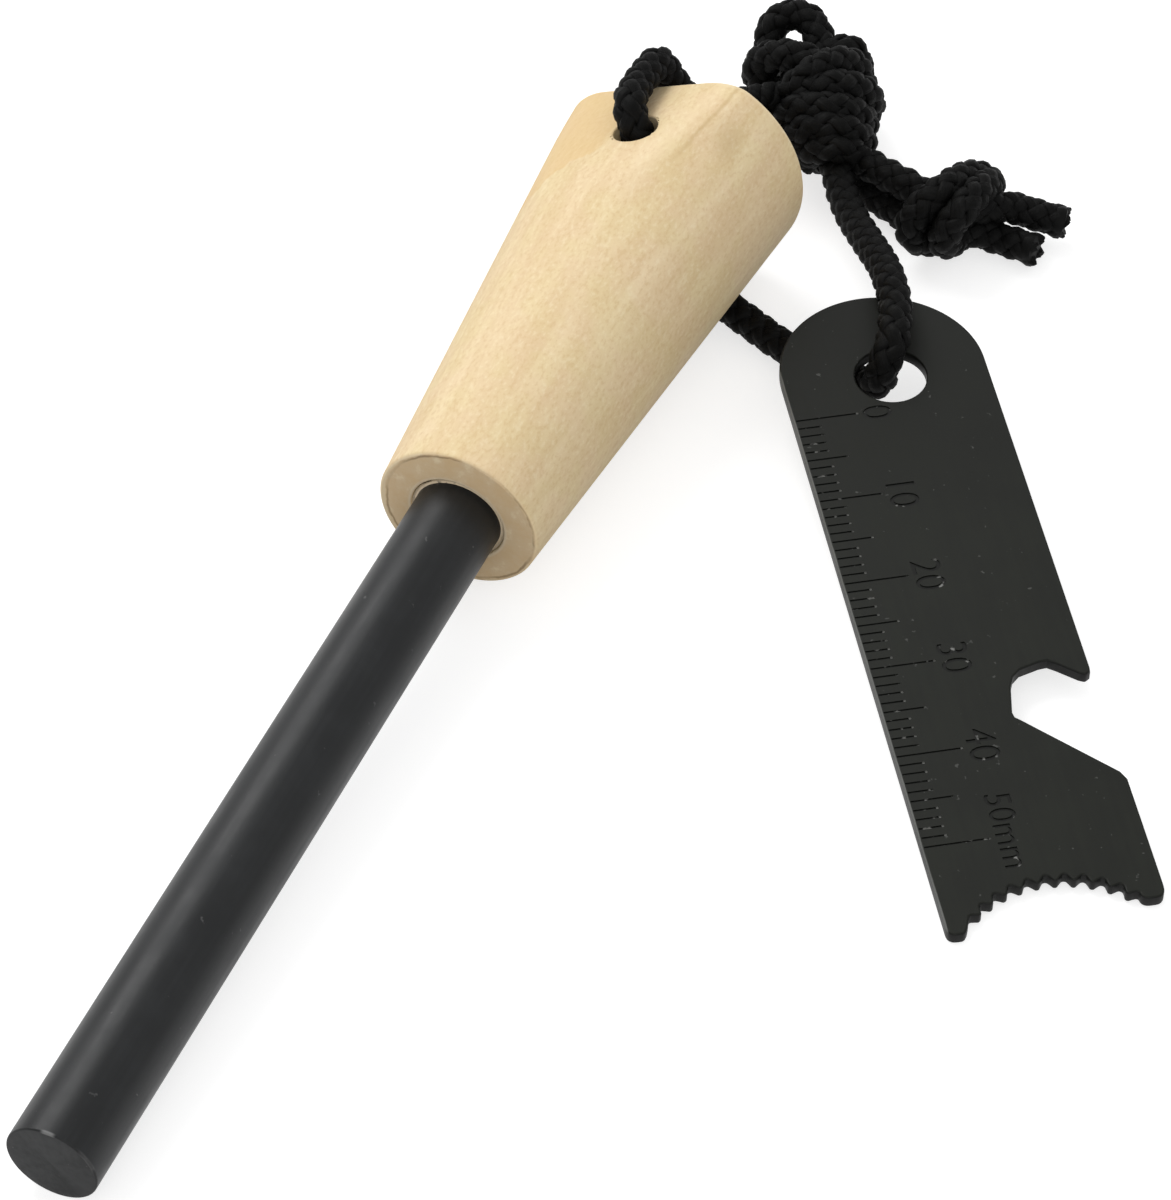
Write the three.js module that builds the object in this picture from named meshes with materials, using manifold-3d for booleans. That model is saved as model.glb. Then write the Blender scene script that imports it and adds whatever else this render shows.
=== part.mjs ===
import * as THREE from 'three';
import { mergeVertices } from 'three/addons/utils/BufferGeometryUtils.js';
import Module from 'manifold-3d';

const wasm = await Module();
wasm.setup();

// Fire starter: a ferrocerium rod glued into a tapered wooden handle, and a flat steel striker.
// A braided cord ties the two together. Millimetres, +Z up, the rod's tip towards +X.
// The fire steel lies on its tip and its butt rim, and the striker lies beside it on its two feet.

// Ferro rod
const rodRadius = 4;
const rodExposedLength = 75;
const rodSeatDepth = 25;
const rodTipRound = 0.3;

// Wooden handle
const handleLength = 51.1;
const handleSmallRadius = 7.5;
const handleButtRadius = 11.7;
const handleSmallRimRound = 0.5;
const handleButtRimRound = 0.8;

// The bore is drilled a little askew, so the grip leans sideways off the rod's line
const handleLean = THREE.MathUtils.degToRad(-0.35);

// Flat on the butt, and the cord hole drilled square to it across the handle
const flatDepth = 3.6;
const flatLength = 13.6;
const flatAngle = THREE.MathUtils.degToRad(113.6);
const cordHoleRadius = 2.2;
const cordHoleFromButt = 9.1;
const cordHoleOffAxis = 2.45;

// Glue round the rod in its blind bore
const glueThickness = 0.35;
const glueFloor = 0.8;
const glueRecess = 1.5;
const seatClearance = 0.05;

// Striker plate
const strikerWidth = 18.8;
const strikerLength = 73.8;
const strikerThickness = 1.2;
const strikerHoleRadius = 3.25;
const strikerHoleFromEnd = 10.25;
const strikerHoleOffCentre = 0.5;
const serrationSpan = THREE.MathUtils.degToRad(93);
const toothCount = 10;
const toothHeight = 0.7;
const footRound = 0.6;
const footWidth = 2.18;
const footReach = 1.7;
const shortFootStep = 0.9;
const notchFromEnd = 46;
const notchLength = 13.2;
const notchDepth = 7.77;

// Where the striker lies: its hole's place from the butt end and from the rod's axis
const strikerHoleAlong = 15.3;
const strikerHoleAside = 26.5;
const strikerPropHeight = 4.5;
const strikerYaw = THREE.MathUtils.degToRad(34.6);

// Braided cord
const cordRadius = 1.65;

// How finely round shapes are cut, and how far a cutter passes through what it cuts
const roundSegments = 48;
const holeSegments = 28;
const rimSegments = 5;
const cordSides = 8;
const overSteps = 26;
const underSteps = 40;
const tailSteps = 3;
const knotSegments = 20;
const cutOverrun = 2;
const weldTolerance = 1e-5;

// Places along the fire steel, from the rod's tip at zero back to the butt
const handleFaceX = -rodExposedLength;
const buttX = handleFaceX - handleLength;
const boreRadius = rodRadius + glueThickness;
const rodEndX = handleFaceX - rodSeatDepth;
const boreEndX = rodEndX - glueFloor;

const woodFinish = new THREE.MeshStandardMaterial({ color: 0xe3cfa3, roughness: 0.75, metalness: 0 });
const rodFinish = new THREE.MeshStandardMaterial({ color: 0x25272b, roughness: 0.5, metalness: 0.3 });
const glueFinish = new THREE.MeshStandardMaterial({ color: 0x9a8460, roughness: 0.35, metalness: 0 });
const strikerFinish = new THREE.MeshStandardMaterial({ color: 0x30332f, roughness: 0.45, metalness: 0.6 });
const cordFinish = new THREE.MeshStandardMaterial({ color: 0x141416, roughness: 0.95, metalness: 0 });

// One closed mesh: shared corners merged and faces without area left out
function closed(geometry) {
  geometry.deleteAttribute('normal');
  geometry.deleteAttribute('uv');
  const welded = mergeVertices(geometry, weldTolerance);
  const kept = [];
  const corners = welded.index.array;
  for (let i = 0; i < corners.length; i += 3) {
    const [a, b, c] = [corners[i], corners[i + 1], corners[i + 2]];
    if (a !== b && b !== c && c !== a) {
      kept.push(a, b, c);
    }
  }
  welded.setIndex(kept);
  return welded;
}

function solidOf(geometry) {
  const shape = closed(geometry);
  const vertProperties = Float32Array.from(shape.attributes.position.array);
  const triVerts = Uint32Array.from(shape.index.array);
  return new wasm.Manifold(new wasm.Mesh({ numProp: 3, vertProperties, triVerts }));
}

function geometryOf(solid) {
  const mesh = solid.getMesh();
  const geometry = new THREE.BufferGeometry();
  geometry.setAttribute('position', new THREE.BufferAttribute(Float32Array.from(mesh.vertProperties), 3));
  geometry.setIndex(Array.from(mesh.triVerts));
  return geometry;
}

function named(name, geometry, finish) {
  const mesh = new THREE.Mesh(geometry, finish);
  mesh.name = name;
  return mesh;
}

// Points [x, radius] from one end on the axis to the other, turned about the X axis
function turned(profile) {
  const points = profile.map(([x, radius]) => new THREE.Vector2(radius, x));
  const geometry = new THREE.LatheGeometry(points, roundSegments);
  geometry.rotateZ(-Math.PI / 2);
  return geometry;
}

// A quarter turn of a rim, from one angle to another about the rim's centre
function rim(centreX, centreRadius, round, from, to) {
  const points = [];
  for (let i = 0; i <= rimSegments; i += 1) {
    const angle = from + ((to - from) * i) / rimSegments;
    points.push([centreX + round * Math.cos(angle), centreRadius + round * Math.sin(angle)]);
  }
  return points;
}

// Radius of the tapered grip at a distance in front of the butt
function gripRadius(fromButt) {
  return handleButtRadius + ((handleSmallRadius - handleButtRadius) * fromButt) / handleLength;
}

// The grip and its cuts lean together about the middle of the handle's small face
function lean(geometry) {
  geometry.translate(-handleFaceX, 0, 0);
  geometry.rotateZ(handleLean);
  geometry.translate(handleFaceX, 0, 0);
  return geometry;
}

// Directions across the handle: out of the flat, and along the flat
const flatOut = new THREE.Vector3(0, Math.cos(flatAngle), Math.sin(flatAngle));
const flatAcross = new THREE.Vector3(0, Math.sin(flatAngle), -Math.cos(flatAngle));

// The flat is planed from the butt until it runs out on the taper
function flatCutter() {
  const start = new THREE.Vector3(buttX, 0, 0).addScaledVector(flatOut, handleButtRadius - flatDepth);
  const end = new THREE.Vector3(buttX + flatLength, 0, 0).addScaledVector(flatOut, gripRadius(flatLength));
  const along = end.clone().sub(start).normalize();
  const normal = new THREE.Vector3().crossVectors(flatAcross, along).negate();
  const side = new THREE.Vector3().crossVectors(normal, along);
  const reach = 2 * (flatLength + cutOverrun);
  const cutter = new THREE.BoxGeometry(reach, 2 * handleButtRadius, 2 * handleButtRadius);
  const centre = start.clone().addScaledVector(normal, handleButtRadius);
  cutter.applyMatrix4(new THREE.Matrix4().makeBasis(along, side, normal).setPosition(centre));
  return solidOf(lean(cutter));
}

// The cord hole runs square to the axis, in line with the flat's normal
function cordHoleCutter() {
  const depth = 2 * (handleButtRadius + cutOverrun);
  const cutter = new THREE.CylinderGeometry(cordHoleRadius, cordHoleRadius, depth, holeSegments);
  const turn = new THREE.Quaternion().setFromUnitVectors(new THREE.Vector3(0, 1, 0), flatOut);
  cutter.applyQuaternion(turn);
  const centre = new THREE.Vector3(buttX + cordHoleFromButt, 0, 0);
  centre.addScaledVector(flatAcross, cordHoleOffAxis);
  cutter.translate(centre.x, centre.y, centre.z);
  return solidOf(lean(cutter));
}

// The bore keeps to the rod's line
function boreCutter() {
  const profile = [
    [boreEndX, 0],
    [boreEndX, boreRadius],
    [handleFaceX + cutOverrun, boreRadius],
    [handleFaceX + cutOverrun, 0],
  ];
  return solidOf(turned(profile));
}

function handle() {
  const small = handleSmallRimRound;
  const butt = handleButtRimRound;
  const profile = [
    [buttX, 0],
    ...rim(buttX + butt, gripRadius(butt) - butt, butt, Math.PI, Math.PI / 2),
    ...rim(handleFaceX - small, handleSmallRadius - small, small, Math.PI / 2, 0),
    [handleFaceX, 0],
  ];
  const grip = solidOf(lean(turned(profile)));
  const shaped = grip.subtract(flatCutter()).subtract(cordHoleCutter()).subtract(boreCutter());
  return named('handle', geometryOf(shaped), woodFinish);
}

function ferroRod() {
  const tip = rodTipRound;
  const profile = [
    [rodEndX, 0],
    [rodEndX, rodRadius],
    ...rim(-tip, rodRadius - tip, tip, Math.PI / 2, 0),
    [0, 0],
  ];
  return named('ferro_rod', closed(turned(profile)), rodFinish);
}

// A cup of glue that holds the rod's buried end, a little below the bore's mouth
function rodGlue() {
  const outer = boreRadius - seatClearance;
  const inner = rodRadius + seatClearance;
  const mouthX = handleFaceX - glueRecess;
  const profile = [
    [boreEndX + seatClearance, 0],
    [boreEndX + seatClearance, outer],
    [mouthX, outer],
    [mouthX, inner],
    [rodEndX - seatClearance, inner],
    [rodEndX - seatClearance, 0],
  ];
  return named('rod_glue', closed(turned(profile)), glueFinish);
}

// The fire steel tips until its rounded tip and its rounded butt rim both touch the ground
function restTilt() {
  const rise = gripRadius(handleButtRimRound) - handleButtRimRound - (rodRadius - rodTipRound);
  const run = -buttX - handleButtRimRound - rodTipRound;
  return Math.acos((rodTipRound - handleButtRimRound) / Math.hypot(rise, run)) - Math.atan2(run, rise);
}

// Height of the middle of the rod's tip above the ground
function tipHeight() {
  const tilt = restTilt();
  return (rodRadius - rodTipRound) * Math.cos(tilt) + rodTipRound * (1 - Math.sin(tilt));
}

const fireSteel = new THREE.Group();
fireSteel.add(handle(), ferroRod(), rodGlue());
fireSteel.rotation.y = restTilt();
fireSteel.position.z = tipHeight();

// Striker outline in its own plane: X from the round end to the feet, Y across, zero at the hole
const strikerEndX = -strikerHoleFromEnd;
const strikerLowY = -strikerWidth / 2 - strikerHoleOffCentre;
const strikerHighY = strikerLowY + strikerWidth;
const strikerMidY = strikerLowY + strikerWidth / 2;
const longFootX = strikerEndX + strikerLength;
const shortFootX = longFootX - shortFootStep;
const gulletRadius = (strikerWidth / 2 - footWidth) / Math.sin(serrationSpan / 2);
const serrationX = longFootX - footReach + gulletRadius * Math.cos(serrationSpan / 2);

// Bottle notch: [along its length, into the plate], as shares of the notch's length and depth
const notchShares = [
  [1.068, 0],
  [1, 0.051],
  [0.462, 0.94],
  [0.436, 0.988],
  [0.394, 1],
  [0.182, 0.927],
  [0.102, 0.869],
  [0.049, 0.772],
  [0.008, 0.53],
  [0.004, 0.438],
  [0.042, 0.347],
  [0.144, 0.142],
  [0.167, 0.071],
  [0.144, 0.01],
  [0.106, 0],
];

// Gullets lie on an arc between the two feet, and the tips stand one tooth height inside it
function serration() {
  const points = [];
  for (let i = 0; i <= 2 * toothCount; i += 1) {
    const angle = serrationSpan * (i / (2 * toothCount) - 0.5);
    const radius = i % 2 === 0 ? gulletRadius : gulletRadius - toothHeight;
    points.push([serrationX - radius * Math.cos(angle), strikerMidY + radius * Math.sin(angle)]);
  }
  return points;
}

function strikerOutline() {
  const teeth = serration();
  const [firstX, firstY] = teeth[0];
  const [lastX, lastY] = teeth[teeth.length - 1];
  const outline = new THREE.Shape();
  outline.moveTo(strikerEndX + strikerWidth / 2, strikerLowY);
  outline.lineTo(longFootX - footRound, strikerLowY);
  outline.quadraticCurveTo(longFootX, strikerLowY, longFootX, strikerLowY + footRound);
  outline.lineTo(longFootX, firstY - footRound);
  outline.quadraticCurveTo(longFootX, firstY - footRound / 2, firstX, firstY);
  teeth.slice(1).forEach(([x, y]) => outline.lineTo(x, y));
  outline.quadraticCurveTo(shortFootX, lastY, shortFootX, lastY + footRound);
  outline.lineTo(shortFootX, strikerHighY - footRound);
  outline.quadraticCurveTo(shortFootX, strikerHighY, (lastX + shortFootX) / 2 - footRound, strikerHighY);
  notchShares.forEach(([along, deep]) => {
    outline.lineTo(strikerEndX + notchFromEnd + along * notchLength, strikerHighY - deep * notchDepth);
  });
  outline.lineTo(strikerEndX + strikerWidth / 2, strikerHighY);
  outline.absarc(strikerEndX + strikerWidth / 2, strikerMidY, strikerWidth / 2, Math.PI / 2, -Math.PI / 2, false);
  const hole = new THREE.Path();
  hole.absarc(0, 0, strikerHoleRadius, 0, 2 * Math.PI, true);
  outline.holes.push(hole);
  return outline;
}

function strikerPlate() {
  const settings = { depth: strikerThickness, bevelEnabled: false, curveSegments: holeSegments / 2 };
  const plate = new THREE.ExtrudeGeometry(strikerOutline(), settings);
  return named('striker_plate', closed(plate), strikerFinish);
}

// The striker pivots down about its hole until its long foot meets the ground
const striker = new THREE.Group();
striker.add(strikerPlate());
striker.rotation.set(0, Math.asin(strikerPropHeight / longFootX), strikerYaw, 'ZYX');
striker.position.set(buttX * Math.cos(restTilt()) + strikerHoleAlong, strikerHoleAside, strikerPropHeight);

// The hard parts stand with the middle of their footprint at the origin
const hardParts = new THREE.Group();
hardParts.add(fireSteel, striker);
const footprint = new THREE.Box3().setFromObject(hardParts, true);
const middle = footprint.getCenter(new THREE.Vector3());
hardParts.position.set(-middle.x, -middle.y, -footprint.min.z);

// Middle of the cord's route in each stretch, as it lies in the photograph
const overRoute = [
  [-53.7, -26.3, 12.2],
  [-53.7, -27.4, 14.8],
  [-53.6, -28.8, 17.4],
  [-53.5, -29.7, 19.5],
  [-53.5, -30.4, 21.1],
  [-54.3, -31.1, 22.1],
  [-55.9, -31.7, 22.2],
  [-57.5, -32.0, 21.8],
  [-59.1, -32.2, 21.5],
  [-60.7, -32.3, 21.2],
  [-62.1, -32.4, 20.9],
  [-63.4, -32.2, 20.5],
  [-64.3, -31.8, 19.0],
  [-64.8, -31.2, 17.4],
  [-65.6, -30.6, 15.7],
  [-66.9, -30.0, 14.0],
  [-68.9, -29.5, 12.3],
  [-71.2, -29.1, 10.8],
  [-73.8, -28.3, 9.5],
  [-76.6, -27.2, 8.3],
];
const underRoute = [
  [-53.7, -26.1, 11.7],
  [-54.0, -25.0, 9.4],
  [-54.1, -24.0, 7.2],
  [-54.2, -23.2, 5.2],
  [-54.2, -22.6, 3.8],
  [-54.1, -21.9, 2.8],
  [-54.0, -21.0, 2.2],
  [-53.7, -19.8, 1.9],
  [-53.1, -18.1, 1.7],
  [-52.1, -16.0, 1.7],
  [-51.2, -13.7, 1.7],
  [-50.4, -11.3, 1.7],
  [-49.9, -9.2, 1.9],
  [-49.3, -7.1, 2.3],
  [-48.4, -5.0, 2.8],
  [-47.7, -3.6, 4.4],
  [-47.7, -3.2, 6.3],
  [-48.3, -3.0, 7.5],
  [-49.4, -3.0, 8.3],
  [-51.3, -3.6, 8.7],
  [-53.6, -4.5, 8.7],
  [-55.9, -5.8, 8.5],
  [-58.8, -7.5, 7.7],
  [-61.8, -9.7, 6.7],
  [-64.8, -12.0, 5.7],
  [-67.8, -14.3, 4.9],
  [-70.7, -16.3, 4.6],
  [-73.8, -18.2, 4.7],
];
const longTailRoute = [
  [-75.2, -15.4, 5.2],
  [-74.5, -13.4, 5.2],
  [-74.0, -11.6, 5.2],
];
const shortTailRoute = [
  [-75.0, -15.2, 1.8],
  [-74.4, -13.3, 1.8],
  [-73.6, -11.5, 1.8],
];
const longEndRoute = [
  [-76.6, -1.1, 3.5],
  [-76.9, 0.2, 3.2],
  [-77.3, 1.7, 2.8],
  [-77.8, 3.4, 2.4],
];
const shortEndRoute = [
  [-73.8, -1.8, 1.8],
  [-73.7, 0.2, 1.8],
  [-73.6, 2.2, 1.8],
];

// Each knot as round lumps that run into each other: [middle, half its size along X, Y and Z]
const mainKnotLumps = [
  [[-82.3, -23.9, 5.8], [6.8, 6.8, 5.7]],
  [[-89.6, -28.8, 5.5], [3.7, 4.1, 3.3]],
  [[-78.2, -19.8, 4.3], [4.2, 4.2, 4.0]],
];
const stopperKnotLumps = [
  [[-71.4, -7.2, 4.0], [4.2, 4.2, 3.9]],
  [[-75.4, -4.6, 5.0], [3.4, 3.4, 3.4]],
];

function places(route) {
  return route.map(([x, y, z]) => new THREE.Vector3(x, y, z));
}

function cordSection() {
  const section = new THREE.Shape();
  for (let i = 0; i < cordSides; i += 1) {
    const angle = (2 * Math.PI * i) / cordSides;
    const point = [cordRadius * Math.cos(angle), cordRadius * Math.sin(angle)];
    if (i === 0) {
      section.moveTo(...point);
    } else {
      section.lineTo(...point);
    }
  }
  section.closePath();
  return section;
}

function cord(name, route, steps) {
  const path = new THREE.CatmullRomCurve3(places(route), false, 'centripetal');
  const tube = new THREE.ExtrudeGeometry(cordSection(), { steps, bevelEnabled: false, extrudePath: path });
  return named(name, closed(tube), cordFinish);
}

function knot(name, lumps) {
  const solids = lumps.map(([middle, half]) => {
    const lump = new THREE.SphereGeometry(1, knotSegments, knotSegments / 2);
    lump.scale(...half);
    lump.translate(...middle);
    return solidOf(lump);
  });
  const joined = solids.reduce((whole, lump) => whole.add(lump));
  return named(name, geometryOf(joined), cordFinish);
}

const lanyard = new THREE.Group();
lanyard.add(
  cord('lanyard_over', overRoute, overSteps),
  cord('lanyard_under', underRoute, underSteps),
  knot('main_knot', mainKnotLumps),
  cord('tail_long', longTailRoute, tailSteps),
  cord('tail_short', shortTailRoute, tailSteps),
  knot('stopper_knot', stopperKnotLumps),
  cord('tail_end_long', longEndRoute, tailSteps),
  cord('tail_end_short', shortEndRoute, tailSteps),
);

const group = new THREE.Group();
group.add(hardParts, lanyard);

export default group;
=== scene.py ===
"""A fire starter: a ferrocerium rod in a turned birch handle, and a steel striker on a knotted cord."""

import math

import bmesh
import bpy
import numpy as np
from bpy.props import FloatProperty, FloatVectorProperty, IntProperty, PointerProperty
from mathutils import Matrix, Vector


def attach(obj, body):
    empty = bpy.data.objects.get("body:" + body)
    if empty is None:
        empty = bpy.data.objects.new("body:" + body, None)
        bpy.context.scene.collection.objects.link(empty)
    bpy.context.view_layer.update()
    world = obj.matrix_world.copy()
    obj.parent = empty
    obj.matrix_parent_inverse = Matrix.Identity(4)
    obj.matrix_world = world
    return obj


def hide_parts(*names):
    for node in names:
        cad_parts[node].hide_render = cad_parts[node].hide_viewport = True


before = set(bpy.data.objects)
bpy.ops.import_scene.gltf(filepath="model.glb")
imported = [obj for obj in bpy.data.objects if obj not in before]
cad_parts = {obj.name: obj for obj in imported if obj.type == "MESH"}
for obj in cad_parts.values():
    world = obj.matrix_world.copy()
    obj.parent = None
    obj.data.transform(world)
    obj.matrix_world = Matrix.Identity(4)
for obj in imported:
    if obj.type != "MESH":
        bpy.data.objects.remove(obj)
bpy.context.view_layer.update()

bl_info = {
    "name": "Ferro Rod Fire Starter",
    "version": (1, 0, 0),
    "blender": (4, 5, 0),
    "location": "View3D > Sidebar > Fire Starter",
    "description": "Dresses a ferro rod, its handle, its striker and its cord",
    "category": "Add Mesh",
}

MM = 0.001

# The camera's place and its axes, the long side of the picture being 36 mm of sensor
CAMERA_PLACE = Vector((0.273452, 0.111218, 0.304742))
CAMERA_RIGHT = Vector((-0.405557, 0.91406, -0.004309))
CAMERA_UP = Vector((-0.635695, -0.278657, 0.719891))
CAMERA_LENS = 150
CAMERA_SENSOR = 36

# The fire steel's own frame: X from the rod's butt end to its tip, zero at the tip
ROD_TIP = Vector((0.063151, -0.028884, 0.003975))
REST_TILT = math.radians(3.496)
STEEL_PLACE = Matrix.Translation(ROD_TIP) @ Matrix.Rotation(REST_TILT, 4, "Y")

# The striker's own frame: X from its round end to its feet, zero at its hole, Z up out of the marked face
STRIKER_HOLE = Vector((-0.047414, -0.002384, 0.0045))
STRIKER_YAW = math.radians(34.6)
STRIKER_TILT = math.radians(4.06)
STRIKER_TURN = Matrix.Rotation(STRIKER_YAW, 4, "Z") @ Matrix.Rotation(STRIKER_TILT, 4, "Y")
STRIKER_PLACE = Matrix.Translation(STRIKER_HOLE) @ STRIKER_TURN

# The cord's route, from the middle of the handle's hole over the butt and into the main knot
OVER_ROUTE = [
    (-0.0537, -0.0263, 0.0122),
    (-0.0537, -0.0274, 0.0148),
    (-0.0536, -0.0288, 0.0174),
    (-0.0535, -0.0297, 0.0195),
    (-0.0535, -0.0304, 0.0211),
    (-0.0543, -0.0311, 0.0221),
    (-0.0559, -0.0317, 0.0222),
    (-0.0575, -0.0320, 0.0218),
    (-0.0591, -0.0322, 0.0215),
    (-0.0607, -0.0323, 0.0212),
    (-0.0621, -0.0324, 0.0209),
    (-0.0634, -0.0322, 0.0205),
    (-0.0643, -0.0318, 0.0190),
    (-0.0648, -0.0312, 0.0174),
    (-0.0656, -0.0306, 0.0157),
    (-0.0669, -0.0300, 0.0140),
    (-0.0689, -0.0295, 0.0123),
    (-0.0712, -0.0291, 0.0108),
    (-0.0738, -0.0283, 0.0095),
    (-0.0766, -0.0272, 0.0083),
    (-0.0788, -0.0261, 0.0074),
]
# The other way out of the handle's hole, along the ground, up through the striker and back to the main knot
UNDER_ROUTE = [
    (-0.0537, -0.0261, 0.0117),
    (-0.0540, -0.0250, 0.0094),
    (-0.0541, -0.0240, 0.0072),
    (-0.0542, -0.0232, 0.0052),
    (-0.0542, -0.0226, 0.0038),
    (-0.0541, -0.0219, 0.0028),
    (-0.0540, -0.0210, 0.0022),
    (-0.0537, -0.0198, 0.0019),
    (-0.0531, -0.0181, 0.0017),
    (-0.0521, -0.0160, 0.0017),
    (-0.0512, -0.0137, 0.0017),
    (-0.0504, -0.0113, 0.0017),
    (-0.0499, -0.0092, 0.0019),
    (-0.0493, -0.0071, 0.0023),
    (-0.0484, -0.0050, 0.0028),
    (-0.0477, -0.0036, 0.0044),
    (-0.0477, -0.0032, 0.0063),
    (-0.0483, -0.0030, 0.0075),
    (-0.0494, -0.0030, 0.0083),
    (-0.0513, -0.0036, 0.0087),
    (-0.0536, -0.0045, 0.0087),
    (-0.0559, -0.0058, 0.0085),
    (-0.0588, -0.0075, 0.0077),
    (-0.0618, -0.0097, 0.0067),
    (-0.0648, -0.0120, 0.0057),
    (-0.0678, -0.0143, 0.0049),
    (-0.0707, -0.0163, 0.0046),
    (-0.0738, -0.0182, 0.0047),
    (-0.0759, -0.0195, 0.0050),
    (-0.0783, -0.0209, 0.0054),
]
# The two tails, from inside the main knot through the stopper knot to their cut ends
LONG_TAIL_ROUTE = [
    (-0.0832, -0.0250, 0.0056),
    (-0.0810, -0.0228, 0.0053),
    (-0.0766, -0.0180, 0.0051),
    (-0.0752, -0.0154, 0.0052),
    (-0.0745, -0.0134, 0.0052),
    (-0.0740, -0.0116, 0.0052),
    (-0.0734, -0.0092, 0.0050),
    (-0.0730, -0.0069, 0.0049),
    (-0.0731, -0.0049, 0.0050),
    (-0.0743, -0.0032, 0.0047),
    (-0.0758, -0.0021, 0.0040),
    (-0.0766, -0.0011, 0.0035),
    (-0.0769, 0.0002, 0.0032),
    (-0.0773, 0.0017, 0.0028),
    (-0.0778, 0.0034, 0.0024),
]
SHORT_TAIL_ROUTE = [
    (-0.0820, -0.0258, 0.0036),
    (-0.0800, -0.0234, 0.0030),
    (-0.0766, -0.0182, 0.0022),
    (-0.0750, -0.0152, 0.0018),
    (-0.0744, -0.0133, 0.0018),
    (-0.0736, -0.0115, 0.0018),
    (-0.0728, -0.0095, 0.0022),
    (-0.0723, -0.0073, 0.0028),
    (-0.0725, -0.0054, 0.0029),
    (-0.0733, -0.0036, 0.0023),
    (-0.0738, -0.0018, 0.0018),
    (-0.0737, 0.0002, 0.0018),
    (-0.0736, 0.0022, 0.0018),
]
# The main knot's strands: the eye, the lobes and bands wound over it, and three that run through it
MAIN_KNOT_STRANDS = [
    [
        (-0.0852, -0.0291, 0.0044),
        (-0.0861, -0.0301, 0.0054),
        (-0.0868, -0.0305, 0.0066),
        (-0.0876, -0.0307, 0.0076),
        (-0.0883, -0.0304, 0.0084),
        (-0.0891, -0.0296, 0.0088),
        (-0.0894, -0.0286, 0.0090),
        (-0.0893, -0.0275, 0.0089),
        (-0.0888, -0.0265, 0.0085),
        (-0.0878, -0.0257, 0.0080),
        (-0.0868, -0.0249, 0.0072),
        (-0.0859, -0.0240, 0.0062),
    ],
    [
        (-0.0867, -0.0254, 0.0062),
        (-0.0869, -0.0242, 0.0074),
        (-0.0872, -0.0231, 0.0080),
        (-0.0878, -0.0223, 0.0076),
        (-0.0881, -0.0219, 0.0064),
        (-0.0879, -0.0216, 0.0050),
        (-0.0872, -0.0218, 0.0038),
    ],
    [
        (-0.0821, -0.0225, 0.0084),
        (-0.0826, -0.0240, 0.0092),
        (-0.0827, -0.0258, 0.0096),
        (-0.0827, -0.0276, 0.0092),
        (-0.0829, -0.0293, 0.0082),
        (-0.0827, -0.0301, 0.0068),
        (-0.0826, -0.0297, 0.0054),
        (-0.0830, -0.0286, 0.0042),
        (-0.0837, -0.0270, 0.0032),
    ],
    [
        (-0.0789, -0.0257, 0.0046),
        (-0.0786, -0.0254, 0.0066),
        (-0.0787, -0.0248, 0.0086),
        (-0.0796, -0.0238, 0.0099),
        (-0.0813, -0.0229, 0.0102),
        (-0.0831, -0.0220, 0.0098),
        (-0.0845, -0.0212, 0.0088),
        (-0.0852, -0.0206, 0.0074),
        (-0.0855, -0.0204, 0.0058),
        (-0.0853, -0.0209, 0.0042),
        (-0.0848, -0.0220, 0.0030),
    ],
    [
        (-0.0782, -0.0243, 0.0080),
        (-0.0787, -0.0228, 0.0092),
        (-0.0794, -0.0213, 0.0098),
        (-0.0808, -0.0199, 0.0092),
        (-0.0824, -0.0189, 0.0076),
        (-0.0835, -0.0187, 0.0056),
        (-0.0838, -0.0193, 0.0038),
        (-0.0835, -0.0208, 0.0026),
        (-0.0829, -0.0229, 0.0020),
        (-0.0821, -0.0246, 0.0024),
    ],
    [
        (-0.0800, -0.0270, 0.0044),
        (-0.0769, -0.0252, 0.0062),
        (-0.0764, -0.0239, 0.0080),
        (-0.0764, -0.0223, 0.0090),
        (-0.0768, -0.0204, 0.0093),
        (-0.0780, -0.0191, 0.0086),
        (-0.0794, -0.0182, 0.0070),
        (-0.0804, -0.0181, 0.0050),
        (-0.0807, -0.0190, 0.0032),
        (-0.0805, -0.0209, 0.0022),
        (-0.0801, -0.0228, 0.0020),
    ],
    [
        (-0.0758, -0.0238, 0.0036),
        (-0.0750, -0.0232, 0.0058),
        (-0.0746, -0.0220, 0.0076),
        (-0.0749, -0.0203, 0.0084),
        (-0.0756, -0.0186, 0.0082),
        (-0.0767, -0.0175, 0.0070),
        (-0.0778, -0.0172, 0.0052),
        (-0.0779, -0.0179, 0.0036),
        (-0.0775, -0.0195, 0.0026),
        (-0.0775, -0.0213, 0.0022),
    ],
    [
        (-0.0753, -0.0219, 0.0038),
        (-0.0746, -0.0215, 0.0052),
        (-0.0739, -0.0202, 0.0066),
        (-0.0740, -0.0186, 0.0072),
        (-0.0748, -0.0175, 0.0066),
        (-0.0757, -0.0168, 0.0052),
        (-0.0759, -0.0168, 0.0038),
        (-0.0759, -0.0178, 0.0028),
    ],
    [
        (-0.0881, -0.0278, 0.0052),
        (-0.0838, -0.0252, 0.0056),
        (-0.0797, -0.0223, 0.0056),
        (-0.0767, -0.0196, 0.0048),
        (-0.0760, -0.0183, 0.0040),
    ],
    [
        (-0.0878, -0.0245, 0.0052),
        (-0.0844, -0.0223, 0.0054),
        (-0.0807, -0.0204, 0.0050),
        (-0.0773, -0.0186, 0.0044),
    ],
    [
        (-0.0850, -0.0277, 0.0040),
        (-0.0814, -0.0250, 0.0040),
        (-0.0784, -0.0224, 0.0036),
        (-0.0763, -0.0200, 0.0032),
    ],
]
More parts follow.
